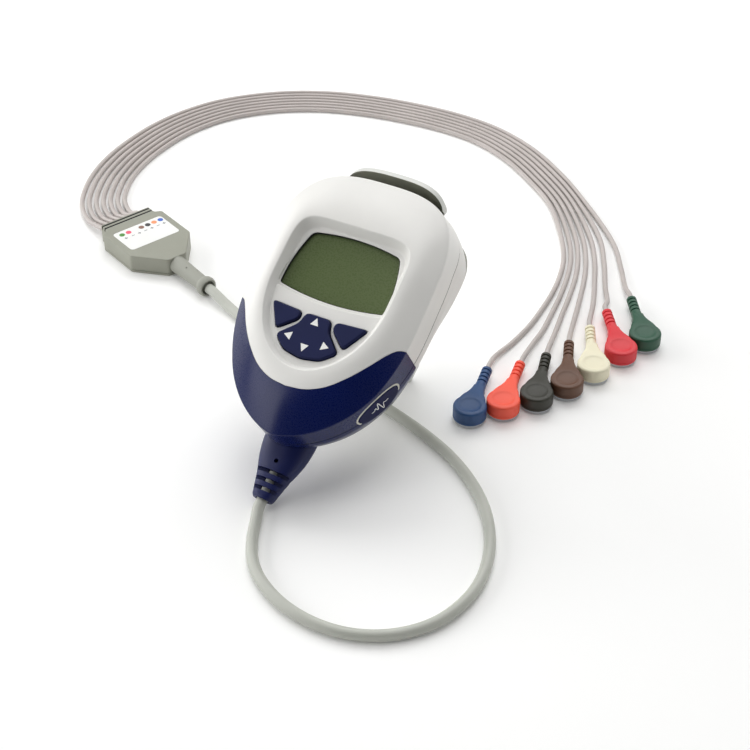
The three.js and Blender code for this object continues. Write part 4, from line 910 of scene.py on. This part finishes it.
def makeScrew():
    head, sink, shaft = screw["headRadius"], screw["sink"], screw["shaftRadius"]
    seatZ, endZ = sink + screw["headHeight"], sink + screw["length"]
    profile = [(head * share, sink + rise) for share, rise in screw["dome"]]
    profile += [(head, seatZ), (shaft, seatZ), (shaft, endZ - screw["tipLength"]), (screw["tipRadius"], endZ)]
    reach, half = screw["crossLength"] / 2, screw["crossWidth"] / 2
    bars = [boxBody("crossTool", (-x, -y, -1), (x, y, sink + screw["crossDepth"]))
            for x, y in ((reach, half), (half, reach))]
    return cut(turnedBody("caseScrew", profile, 40), *bars)


def screwWell(x, y):
    profile = [(screw["wellRadius"], -1), (screw["wellRadius"], screw["sink"] + screw["headHeight"])]
    return moved(turnedBody("wellTool", profile, 40), shiftBy(x, y))


trayOpening = {"halfWidth": 15.0, "lowY": 33.6, "highY": 87.2, "round": 0.8}

rearShell = ringBody("rearShell", rearShellRings())
cut(rearShell, ovalTool(), plugOpeningTool(), *[screwWell(x, y) for x, y in screw["spots"]],
    boxBody("trayTool", (-trayOpening["halfWidth"], trayOpening["lowY"], -1),
            (trayOpening["halfWidth"], trayOpening["highY"], 4), trayOpening["round"]))
rearTrim = splitTrim(rearShell, "rearTrim")
finishPiece(smooth(rearShell, 32, True), recorderPlace, "whiteAbs", "white_shell", "rear_housing")
finishPiece(smooth(rearTrim, 32, True), recorderPlace, "navyAbs", "navy_shell", "rear_lower_trim")

firstScrew = smooth(makeScrew(), 35)
for number, (x, y) in enumerate(screw["spots"], 1):
    place = recorderPlace @ shiftBy(x, y) @ turnBy(screw["turn"] * number, "Z")
    finishPiece(duplicate(firstScrew, "screw" + str(number)), place, "nickelSteel", "steel",
                "case_screw_" + str(number))
bpy.data.objects.remove(firstScrew)
print("rear shell made")


# Seals in the parting line, and a dark lining of painted shade in the screen's opening
seal = {"overlap": 0.08, "inset": 0.12, "depth": 1.7}


def sealBand():
    reach, near, deep = case["partingHalfGap"] + seal["overlap"], seal["inset"], seal["depth"]
    rings = [caseRing(inset(flaredRadii, inwards), lambda y: partingAt(y) + rise)
             for inwards, rise in ((near, -reach), (near, reach), (deep, reach), (deep, -reach))]
    return cut(ringBody("sealBand", rings, closed=True), ovalTool())


def screenGasket():
    # painted shade: a dark lining of the screen's opening, below its rounded edge, where its wall is in shade
    outer, inner = -screen["shadeGap"], -screen["shadeGap"] - screen["gasketWidth"]
    low, high = case["floorUnderZ"] + 0.05, case["screenFloorZ"] - screen["shadeBelow"]
    levels = [(low, outer), (high, outer), (high, inner), (low, inner)]
    return stackBody("screenGasket", screenOutline, levels, closed=True)


sealUpper = sealBand()
sealLower = splitTrim(sealUpper, "sealBandLower")
finishPiece(smooth(sealUpper), recorderPlace, "sealRubber", "seal", "parting_gasket")
finishPiece(smooth(sealLower), recorderPlace, "seamRubber", "seal")
# painted shade: a dark lining where the wall of the screen's opening is in shade
finishPiece(smooth(screenGasket()), recorderPlace, "seamRubber", "seal")


# Keys
def keyCap(name, corners, round_):
    levels = [(keys["topZ"] - keys["thickness"], 0.0)] + roundedTop(keys["topZ"], keys["edgeRound"])
    return stackBody(name, lambda grow: roundedOutline(corners, round_, grow), levels)


def seatTool():
    # the hollow under the navigation pad that takes its pivot
    underZ, radius = keys["topZ"] - keys["thickness"], keys["seatRadius"]
    seat = turnedBody("seatTool", [(radius, underZ - 1), (radius, underZ + keys["seatDepth"])], 40)
    return moved(seat, shiftBy(0, keys["seatY"]))


def keyArrow(name):
    size = keys["arrowSize"]
    corners = [(size, 0), (-size * 0.8, size), (-size * 0.8, -size)]
    return prismBody(name, roundedOutline(corners, keys["arrowRound"], steps=4),
                     keys["topZ"] - keys["printSink"], keys["topZ"] + keys["printHeight"])


rightKey = keyCap("rightKey", keys["soft"], keys["softRound"])
leftKey = moved(duplicate(rightKey, "leftKey"), Matrix.Scale(-1, 4, (1, 0, 0)))
leftKey.data.flip_normals()
padKey = cut(keyCap("padKey", keys["nav"], keys["navRound"]), seatTool())
for obj, body, node in ((rightKey, "right_key", "soft_key_right"), (leftKey, "left_key", "soft_key_left"),
                        (padKey, "nav_pad", "nav_key")):
    finishPiece(smooth(obj, 40, True), recorderPlace, "keySilicone", "navy_rubber", node, body)
for number, ((x, y), turn) in enumerate(keys["arrows"], 1):
    finishPiece(keyArrow("arrow" + str(number)), recorderPlace @ shiftBy(x, y) @ turnBy(turn, "Z"),
                "printWhite", "label_film", body="nav_pad")
print("keys made")


# Event button, its ring and its printed pulse
def makeEventButton():
    length, height = (eventButton[key] - eventButton["ringWidth"] - eventButton["gap"]
                      for key in ("halfLength", "halfHeight"))
    edge, proud = eventButton["edgeRound"], eventButton["proud"]
    rings = [ovalRing(length, height, -eventButton["depth"])]
    rings += [ovalRing(length + grow, height + grow, out) for out, grow in roundedTop(proud, edge)]
    rings += [ovalRing((length - edge) * share, (height - edge) * share, proud)
              for share in (0.8, 0.6, 0.4, 0.2)]
    return ringBody("eventOval", rings, caps=("pole", "pole"))


def eventRing(name, lowZ, highZ):
    length, height = eventButton["halfLength"], eventButton["halfHeight"]
    width, rise, depth = (eventButton[key] for key in ("ringWidth", "ringRise", "ringDepth"))
    profile = [(0, -depth), (0, 0.02), (-0.1, rise), (0.1 - width, rise), (-width, 0.02), (-width, -depth)]
    rings = [ovalRing(length + grow, height + grow, proud) for grow, proud in profile]
    return cut(ringBody(name, rings, closed=True), boxBody("levelTool", (0, 0, lowZ), (80, 60, highZ)),
               operation="INTERSECT")


def pulseMark():
    # a thin printed line that follows the button's face
    line = smoothRoute(eventButton["pulse"], 4)
    rings = []
    for i, spot in enumerate(line):
        side = directionAt(line, i).orthogonal() * (eventButton["pulseWidth"] / 2)
        rings.append([onWall(*(spot + side * share), eventButton["proud"] + rise)
                      for share, rise in eventButton["pulseSection"]])
    return ringBody("pulseMark", rings)


finishPiece(smooth(makeEventButton(), 50), recorderPlace, "eventSilicone", "navy_rubber", "event_button",
            "side_button")
finishPiece(pulseMark(), recorderPlace, "printWhite", "label_film", body="side_button")
finishPiece(smooth(eventRing("eventRing", eventButton["ringFromZ"], 40)), recorderPlace, "ringCream",
            "white_shell", "event_button_ring")
finishPiece(smooth(eventRing("eventLowRing", -5, eventButton["ringFromZ"] - 0.1)), recorderPlace, "navyAbs",
            "navy_shell")
print("event button made")


# Plug: a moulded grip whose slots let the cord bend
def makePlug():
    axis, half = plug["axisZ"], plug["slotWidth"] / 2
    body = plugBody("plugGrip", plug["profile"], 5)
    bore = turnedBody("boreTool", [(radius, plug["tipY"] + depth) for radius, depth in plug["bore"]], 48, "Y")
    cut(body, moved(bore, shiftBy(0, 0, axis)))
    for y in plug["slots"]:
        for low, high in bothSides(plug["slotFloor"], 12):
            cut(body, boxBody("slotTool", (-12, y - half, axis + low), (12, y + half, axis + high)))
    eye = turnedBody("eyeTool", [(plug["eyeRadius"], plug["eyeFloorZ"]), (plug["eyeRadius"], 16)], 24)
    return cut(body, moved(eye, shiftBy(plug["eyeX"], plug["eyeY"])))


finishPiece(smooth(makePlug(), 34, True), recorderPlace, "navySleeve", "navy_shell", "plug_body")
print("plug made")

# Battery door at the back, and the clip that hangs on it
door = {
    "inset": 6.0, "overhang": 1.2, "fromY": 84.0, "toY": 103.0, "lowZ": -2.3, "highZ": -0.3, "edgeRound": 0.6,
    "lowY": 31.0, "notchHalfWidth": 17.2, "notchY": 102.6, "gripY": 38.0, "gripPitch": 2.4, "gripCount": 4,
    "gripHalfWidth": 9.0, "gripWidth": 1.1, "gripDepth": 0.45, "gripRound": 0.5,
    "tabX": 14.7, "tabWidth": 1.4, "tabY": (58, 72), "tabTopZ": 1.7,
}
hinge = {"y": 101.0, "z": -7.0, "pinRadius": 1.4, "pinHalfLength": 16.8, "pinGap": 0.25, "barrelRadius": 3.1,
         "barrelGap": 0.3, "edgeRound": 0.3, "neck": 12.9}
bracket = {"halfWidth": 16.2, "lowY": 90.0, "baseThickness": 1.4, "cornerRound": 1.2, "earThickness": 3.0,
           "earHalfLength": 3.4, "seatZ": -2.6, "edgeRound": 0.35}


def doorRadii(grow):
    reach = door["inset"] + door["overhang"]
    shares = [clamp((y - door["fromY"]) / (door["toY"] - door["fromY"])) for _, y in edgeSpots]
    return [radius + door["overhang"] - reach * (1 - share) ** 1.5 + grow
            for radius, share in zip(caseRadii, shares)]


def makeDoor():
    edge, lowZ, highZ, notch, grip = (
        door[key] for key in ("edgeRound", "lowZ", "highZ", "notchHalfWidth", "gripHalfWidth"))
    rings = [caseRing(doorRadii(-edge * (1 - up)), lowZ + edge * across) for across, up in roundSteps(4)]
    rings.append(caseRing(doorRadii(0), highZ))
    body = ringBody("batteryDoor", rings)
    cut(body, boxBody("doorTool", (-60, -20, lowZ - 1), (60, door["lowY"], highZ + 1)),
        boxBody("notchTool", (-notch, door["notchY"], lowZ - 1), (notch, 130, highZ + 1)))
    for number in range(door["gripCount"]):
        y = door["gripY"] + number * door["gripPitch"]
        far = (grip, y + door["gripWidth"], lowZ + door["gripDepth"])
        cut(body, boxBody("gripTool", (-grip, y, lowZ - 1), far, door["gripRound"]))
    fromY, toY = door["tabY"]
    for low, high in bothSides(door["tabX"] - door["tabWidth"], door["tabX"]):
        tab = boxBody("doorTab", (low, fromY, highZ - 0.5), (high, toY, door["tabTopZ"]))
        cut(body, tab, operation="UNION")
    return body


def acrossRod(name, radius, lowX, highX, edge=0.0):
    profile = [(radius - edge, lowX), (radius, lowX + edge), (radius, highX - edge), (radius - edge, highX)]
    rod = turnedBody(name, profile if edge else profile[1:3], 48, "X")
    return moved(rod, shiftBy(0, hinge["y"], hinge["z"]))


def makeBracket():
    half, ear, reach = bracket["halfWidth"], bracket["earThickness"], bracket["earHalfLength"]
    y, z, seatZ = hinge["y"], hinge["z"], bracket["seatZ"]
    body = boxBody("clipBracket", (-half, bracket["lowY"], seatZ - bracket["baseThickness"]),
                   (half, y, seatZ), bracket["cornerRound"])
    for low, high in bothSides(half - ear, half):
        cut(body, boxBody("ear", (low, y - reach, z), (high, y + reach, seatZ - 0.5)),
            acrossRod("ear", reach, low, high), operation="UNION")
    softenEdges(body, bracket["edgeRound"], 40)
    return cut(body, acrossRod("pinTool", hinge["pinRadius"] + hinge["pinGap"], -half - 1, half + 1),
               acrossRod("barrelTool", hinge["barrelRadius"] + hinge["barrelGap"], ear - half, half - ear))


def makeHingePin():
    half = hinge["pinHalfLength"]
    return acrossRod("hingePin", hinge["pinRadius"], -half, half, hinge["edgeRound"])


finishPiece(smooth(makeDoor(), 34, True), recorderPlace, "greyAbs", "grey_shell", "battery_door", "door")
finishPiece(smooth(makeBracket(), 34, True), recorderPlace, "greyAbs", "grey_shell", "clip_bracket", "door")
finishPiece(smooth(makeHingePin()), recorderPlace, "nickelSteel", "steel", "clip_pin", "door")

# Belt clip: a sprung blade below the hinge and a scooped lever above it. A row of the blade is its distance
# from the hinge, half width, thickness and bow.
clip = {
    "lipY": 117.7, "lipZ": 24.5, "lipHalfWidth": 21.8, "cornerDrop": 8.7, "bow": 4.7, "crown": 1.8,
    "thickness": 2.4, "rows": 40, "columns": 60, "edgeRound": 0.5, "rimWidth": 1.0, "scoopDepth": 1.3,
    "scoopLength": 35, "scoopFromZ": 4.0, "scoopFacing": 0.25, "bladeSlope": 45.5,
    "blade": [(0, 12.9, 2.4, 0), (7.4, 12.9, 2.4, 0), (11.4, 15.5, 2.4, 1.2), (35.5, 15.5, 2.4, 1.2),
              (51.2, 14.5, 2.4, 1.2), (54.2, 13.5, 3.4, 0.4), (60.7, 11.5, 3.4, 0)],
}
pivot = Vector((0, hinge["y"], hinge["z"]))


def leverPoint(share, place, depth):
    # place runs from -1 to 1 across the lever; depth goes from its outer face to its inner face
    reach = Vector((0, clip["lipY"], clip["lipZ"])) - pivot
    along = reach.normalized()
    backwards = Vector((0, along.z, -along.y))
    widening = ease(0.2, 0.95, share)
    drop = clip["cornerDrop"] * (1 - math.sqrt(max(0, 1 - place ** 4))) * share ** 2
    out = clip["bow"] * math.sin(share * math.pi) - clip["crown"] * widening * place * place - depth
    spot = pivot + along * (share * reach.length - drop) + backwards * out
    spot.x = place * mix(hinge["neck"], clip["lipHalfWidth"], widening)
    return spot


def scoopAt(share, place):
    # the rim keeps its thickness and the face inside it is hollowed
    fromEdge = min((1 - share) * clip["scoopLength"], (1 - abs(place)) * clip["lipHalfWidth"])
    inside = ease(clip["rimWidth"] * 0.6, clip["rimWidth"] * 1.6, fromEdge)
    return clip["scoopDepth"] * inside * ease(0.2, 0.5, share)


def bendGrid(lever, inner):
    mesh = bmesh.from_edit_mesh(lever.data)
    layer = mesh.verts.layers.float_vector["spot"]
    for vert in mesh.verts:
        if vert.select:
            share = math.sin((vert[layer].y + 1) * math.pi / 4)
            place = math.sin(vert[layer].x * math.pi / 2)
            vert.co = leverPoint(share, place, clip["thickness"] - scoopAt(share, place) if inner else 0.0)
    bmesh.update_edit_mesh(lever.data)


def makeLever():
    # a grid that remembers its flat shape, bent to the outer face and then extruded to the inner one
    clearSelection()
    bpy.ops.mesh.primitive_grid_add(x_subdivisions=clip["columns"], y_subdivisions=clip["rows"], size=2)
    lever = bpy.context.object
    bpy.ops.object.mode_set(mode="EDIT")
    mesh = bmesh.from_edit_mesh(lever.data)
    layer = mesh.verts.layers.float_vector.new("spot")
    for vert in mesh.verts:
        vert[layer] = vert.co
    bendGrid(lever, inner=False)
    bpy.ops.mesh.extrude_region_move(TRANSFORM_OT_translate={"value": (0, 0, 1)})
    bendGrid(lever, inner=True)
    return leaveEdit(lever)


def bladeSection(half, thick):
    # the two long sides get points between their ends, so that they can bow
    outline = roundedOutline([(-half, -thick / 2), (half, -thick / 2), (half, thick / 2), (-half, thick / 2)],
                             thick * 0.4, steps=4)
    full = []
    for a, b in zip(outline, outline[1:] + outline[:1]):
        count = 12 if (b - a).length > 5 else 1
        full += [a.lerp(b, step / count) for step in range(count)]
    return full


def makeBlade():
    slope = math.radians(clip["bladeSlope"])
    down = Vector((0, -math.cos(slope), -math.sin(slope)))
    out = Vector((0, down.z, -down.y))
    sections = smoothRoute([row[:3] for row in clip["blade"]])
    bows = smoothRoute([(distance, half, bow) for distance, half, thick, bow in clip["blade"]])
    return ringBody("beltClip", [
        [pivot + down * distance + out * (y + bow.z * (1 - (x / half) ** 2)) + Vector((x, 0, 0))
         for x, y in bladeSection(half, thick)]
        for (distance, half, thick), bow in zip(sections, bows)])


def tableTool():
    # everything below the table, in the recorder's own frame
    tool = boxBody("tableTool", (-100, -200, -100), (100, 200, 0))
    return moved(tool, recorderPlace.inverted() @ tableScale)


def makeClip():
    barrel = acrossRod("barrel", hinge["barrelRadius"], -hinge["neck"], hinge["neck"], hinge["edgeRound"])
    body = cut(makeBlade(), softenEdges(makeLever(), clip["edgeRound"], 50), barrel, operation="UNION")
    return cut(body, acrossRod("pinTool", hinge["pinRadius"] + hinge["pinGap"], -20, 20), tableTool())


def shadeScoop(piece):
    # painted shade: the hollow inside the lever's rim gets the darker material, as it lies in shade
    piece.data.materials.append(bpy.data.materials["scoopAbs"])
    turn = recorderPlace.inverted()
    for face in piece.data.polygons:
        facing = -(turn.to_3x3() @ face.normal).normalized().y
        if (turn @ face.center).z > clip["scoopFromZ"] and facing > clip["scoopFacing"]:
            face.material_index = 1


beltClip = smooth(makeClip(), 36, True)
shadeScoop(finishPiece(beltClip, recorderPlace, "clipAbs", "grey_shell", "belt_clip", "clip"))
print("door and clip made")

# Yoke: its own x runs from the leads to the trunk cable
yoke = {
    "outline": [(0, 13.4), (5.4, 13.4), (7.0, 16.6), (31, 16.6), (45, 5)], "cornerRound": 1.1,
    "baseTopZ": 1.3, "topZ": 9.0, "seam": 0.16, "seamEdge": 0.12, "topRound": 0.6, "baseRound": 0.5,
    "grooves": [1.6, 3.9], "grooveWidth": 1.1, "grooveDepth": 1.6, "stripDepth": 0.2, "stripGap": 0.02,
    "leadHoleRadius": 1.35, "leadHoleEnd": 4, "channelRadius": 4.15, "channelFromX": 33.0,
    "label": [(10.4, -13.4), (27.6, -13.4), (27.6, 13.4), (10.4, 13.4)], "labelRound": 2.0,
    "labelDepth": 0.25, "labelGap": 0.08, "printStep": 0.05,
    "dotX": 13.6, "dotPitch": 3.55, "dotFromY": -9.9, "dotRadius": 1.35,
    "dots": ["green", "red", None, "brown", "black", "orange", "blue"], "signX": 17.2,
    "signs": [(-6.0, False), (-2.6, True), (0.9, False), (4.4, True), (7.9, False), (11.2, True),
              (-9.9, True)],
    "signSize": 0.8, "signWidth": 0.3,
}
yokeNeck = {
    "axisZ": 4.7, "profile": [(4.1, 34), (4.1, 44.6), (4.02, 47), (3.7, 56), (3.45, 65.2), (3.7, 65.9),
                              (4.25, 66.3), (4.58, 67.1), (4.68, 68.2), (4.5, 69.3), (4.1, 70), (3.4, 70),
                              (3.15, 69.3), (3.1, 66.8), (2.45, 66.2)],
    "pits": [(54.5, 20), (59.5, -25)], "pitRadius": 0.38, "pitFloor": 2.6,
}
printZ = (yoke["topZ"] - yoke["printStep"], yoke["topZ"] + yoke["printStep"])


def yokeOutline(grow):
    corners = [(x, -y) for x, y in yoke["outline"]] + yoke["outline"][::-1]
    return roundedOutline(corners, yoke["cornerRound"], grow, steps=6)


def labelOutline(grow):
    return roundedOutline(yoke["label"], yoke["labelRound"], grow)


def yokeTools():
    # the channel of the trunk cable's sleeve and the holes of the seven leads
    radius, hole = yoke["channelRadius"], yoke["leadHoleRadius"]
    channel = turnedBody("channelTool", [(radius, yoke["channelFromX"]), (radius, 60)], 48, "X")
    yield moved(channel, shiftBy(0, 0, yokeNeck["axisZ"]))
    for place in range(-3, 4):
        tool = turnedBody("leadTool", [(hole, -2), (hole, yoke["leadHoleEnd"])], 24, "X")
        yield moved(tool, shiftBy(0, place * leads["pitchStart"], leads["outOfYoke"][0][1]))


def makeYoke():
    low, top, foot, edge = (yoke[key] for key in ("baseTopZ", "topZ", "baseRound", "seamEdge"))
    high, half, labelZ = low + yoke["seam"], yoke["grooveWidth"] / 2, top - yoke["labelDepth"]
    levels = [(high, -edge), (high + edge, 0.0)] + roundedTop(top, yoke["topRound"])
    cover = cut(stackBody("yokeCover", yokeOutline, levels), *yokeTools())
    levels = [(foot * across, -foot * (1 - up)) for across, up in roundSteps(4)]
    levels += [(low - edge, 0.0), (low, -edge)]
    base = cut(stackBody("yokeBase", yokeOutline, levels), *yokeTools())
    for x in yoke["grooves"]:
        cut(cover, boxBody("grooveTool", (x - half, -20, top - yoke["grooveDepth"]), (x + half, 20, top + 1)))
    cut(cover, prismBody("labelTool", labelOutline(yoke["labelGap"]), labelZ, top + 1))
    label = stackBody("yokeLabel", labelOutline, [(labelZ, 0), (top - 0.04, 0), (top, -0.05)])
    return cover, base, label


def grooveStrip(name, x):
    # a dark strip at the bottom of each groove
    gap, reach = yoke["stripGap"], yoke["outline"][0][1] - yoke["topRound"]
    half, low = yoke["grooveWidth"] / 2 - gap, yoke["topZ"] - yoke["grooveDepth"] + gap
    return boxBody(name, (x - half, -reach, low), (x + half, reach, yoke["topZ"] - yoke["stripDepth"]))


def makeSign(name, crossed):
    # a printed minus, or a plus with a second bar across it
    half, width = yoke["signSize"], yoke["signWidth"] / 2
    bars = [boxBody(name, (-x, -y, printZ[0]), (x, y, printZ[1])) for x, y in ((width, half), (half, width))
            if crossed or x < y]
    return cut(*bars, operation="UNION")


def makeYokeNeck():
    neck = turnedBody("yokeNeck", yokeNeck["profile"], 64, "X")
    for x, turn in yokeNeck["pits"]:
        pit = turnedBody("pitTool", [(yokeNeck["pitRadius"], z) for z in (yokeNeck["pitFloor"], 6)], 16)
        cut(neck, moved(pit, shiftBy(x) @ turnBy(turn, "X")))
    return moved(neck, shiftBy(0, 0, yokeNeck["axisZ"]))


yokeCover, yokeBase, yokeLabel = makeYoke()
neckPiece = makeYokeNeck()
for obj, material, slot, node in ((yokeCover, "yokeAbs", "yoke_shell", "yoke_cover"),
                                  (yokeBase, "yokeAbs", "yoke_shell", "yoke_base"),
                                  (yokeLabel, "labelFilm", "label_film", "yoke_label"),
                                  (neckPiece, "yokeSleeve", "yoke_shell", "yoke_strain_relief")):
    finishPiece(smooth(obj, 36, True), yokePlace, material, slot, node)
for number, colour in enumerate(yoke["dots"]):
    if colour:
        dot = turnedBody(colour + "Dot", [(yoke["dotRadius"], z) for z in printZ], 32)
        place = yokePlace @ shiftBy(yoke["dotX"], yoke["dotFromY"] + number * yoke["dotPitch"])
        finishPiece(dot, place, colour + "Ink", "snap_" + colour)
for number, (y, crossed) in enumerate(yoke["signs"], 1):
    finishPiece(makeSign("labelSign" + str(number), crossed), yokePlace @ shiftBy(yoke["signX"], y),
                "signInk", "label_film")
for number, x in enumerate(yoke["grooves"], 1):
    finishPiece(grooveStrip("grooveStrip" + str(number), x), yokePlace, "seamRubber", "seal")
print("yoke made")

# Snap connectors: its own x runs from the head to the sleeve
snap = {
    "radius": 7.0, "lowZ": 1.5, "topZ": 7.6, "axisZ": 3.7, "edgeRound": 1.0, "crown": 0.08,
    "taper": [(6.8, 4.8), (9.4, 3.7), (13, 2.8), (16, 2.45)], "slopeX": (5.0, 17.0), "slopeEndZ": 6.0,
    "foot": [(1.5, -0.5), (1.65, -0.15), (2.0, 0.0), (2.8, 0.0), (3.0, -0.14), (3.2, 0.0)],
    "dish": [(5.0, 0.0), (4.6, -0.04), (4.2, -0.22), (3.7, -0.4), (2.4, -0.48), (1.0, -0.5)],
    "sleeve": [(2.6, 7.0), (3.0, 10.0), (2.75, 13.0), (2.5, 16.0), (2.3, 18.8)],
    "ribs": 4, "ribFromX": 19.6, "ribPitch": 2.6, "sleeveRadius": 2.25,
    "groove": [(0, -0.12), (0.12, 0), (0.75, 0.08), (0.75, 0.62), (0.12, 0.7), (0, 0.82)],
    "sleeveEnd": [(2.25, 29.6), (1.95, 29.95), (1.3, 30.0)],
    "socket": [(2.1, 0.25), (2.35, 0.0), (6.0, 0.0), (6.5, 0.35), (6.5, 1.5), (2.1, 1.5)],
}


def snapOutline(grow):
    # most of a circle that runs out into the taper towards the sleeve
    arc = [math.pi - math.radians(125) * step / 22 for step in range(23)]
    half = [Vector((math.cos(turn), math.sin(turn))) * (snap["radius"] + grow) for turn in arc]
    half += smoothRoute([half[-1], *[(x, y + grow) for x, y in snap["taper"]]], 4)[1:]
    return half + [Vector((p.x, -p.y)) for p in half[:0:-1]]


def snapRing(outline, z):
    # the top comes down along the taper to meet the sleeve
    low = snap["lowZ"]
    end = (snap["slopeEndZ"] - low) / (snap["topZ"] - low)
    return [Vector((*p, low + (z - low) * mix(1.0, end, ease(*snap["slopeX"], p.x)))) for p in outline]


def makeSnapHead():
    top, edge, first = snap["topZ"] + snap["crown"], snap["edgeRound"], snap["dish"][0][0]
    rings = [snapRing(snapOutline(grow), z) for z, grow in snap["foot"] + roundedTop(snap["topZ"], edge, 5)]
    outer = snapOutline(-edge)
    circle = [p.normalized() for p in outer]
    for share in (0.35, 0.7):
        rings.append(snapRing([p.lerp(c * first, share) for p, c in zip(outer, circle)],
                              snap["topZ"] + snap["crown"] * share))
    rings += [snapRing([c * radius for c in circle], top + drop) for radius, drop in snap["dish"]]
    profile = list(snap["sleeve"])
    for rib in range(snap["ribs"]):
        start = snap["ribFromX"] + rib * snap["ribPitch"]
        profile += [(snap["sleeveRadius"] - depth, start + x) for depth, x in snap["groove"]]
    sleeve = turnedBody("snapSleeve", profile + snap["sleeveEnd"], 36, "X")
    head = ringBody("snapHead", rings, caps=("flat", "pole"))
    return cut(head, moved(sleeve, shiftBy(0, 0, snap["axisZ"])), operation="UNION")


firstHead = smooth(makeSnapHead(), 42, True)
firstSocket = smooth(turnedBody("snapSocket", snap["socket"], 48, closed=True), 40)
for name, (head, end) in leads["snaps"].items():
    turn = math.atan2(end[1] - head[1], end[0] - head[0])
    place = tableScale @ shiftBy(*head) @ turnBy(math.degrees(turn), "Z")
    headPiece, socketPiece = duplicate(firstHead, name + "Snap"), duplicate(firstSocket, name + "Socket")
    finishPiece(headPiece, place, name + "Tpe", "snap_" + name, "snap_head_" + name)
    finishPiece(socketPiece, place, "nickelSteel", "snap_metal", "snap_socket_" + name)
for obj in (firstHead, firstSocket):
    bpy.data.objects.remove(obj)
print("snaps made")

# Pieces that keep their CAD shape
nodeFinish = {
    "displayAcrylic": ["display_window", "display_panel"], "keySilicone": ["keypad_membrane"],
    "innerAbs": ["display_carrier", "connector_socket", "plug_contacts", "battery_tray", "nav_pivot"],
    "boardEpoxy": ["main_board"], "cellWrap": ["battery_left", "battery_right"],
    "nickelSteel": ["contact_strip_low", "contact_strip_high"],
}
for material, names in nodeFinish.items():
    for name in names:
        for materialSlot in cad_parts[name].material_slots:
            materialSlot.material = bpy.data.materials[material]

# Cords: the first point of each route is read, and nothing is done with it or with the lengths
trunkPiece, route, length = trunkCord
tuple(route[0])
for name, (leadPiece, route, length) in leadCords.items():
    tuple(route[0])
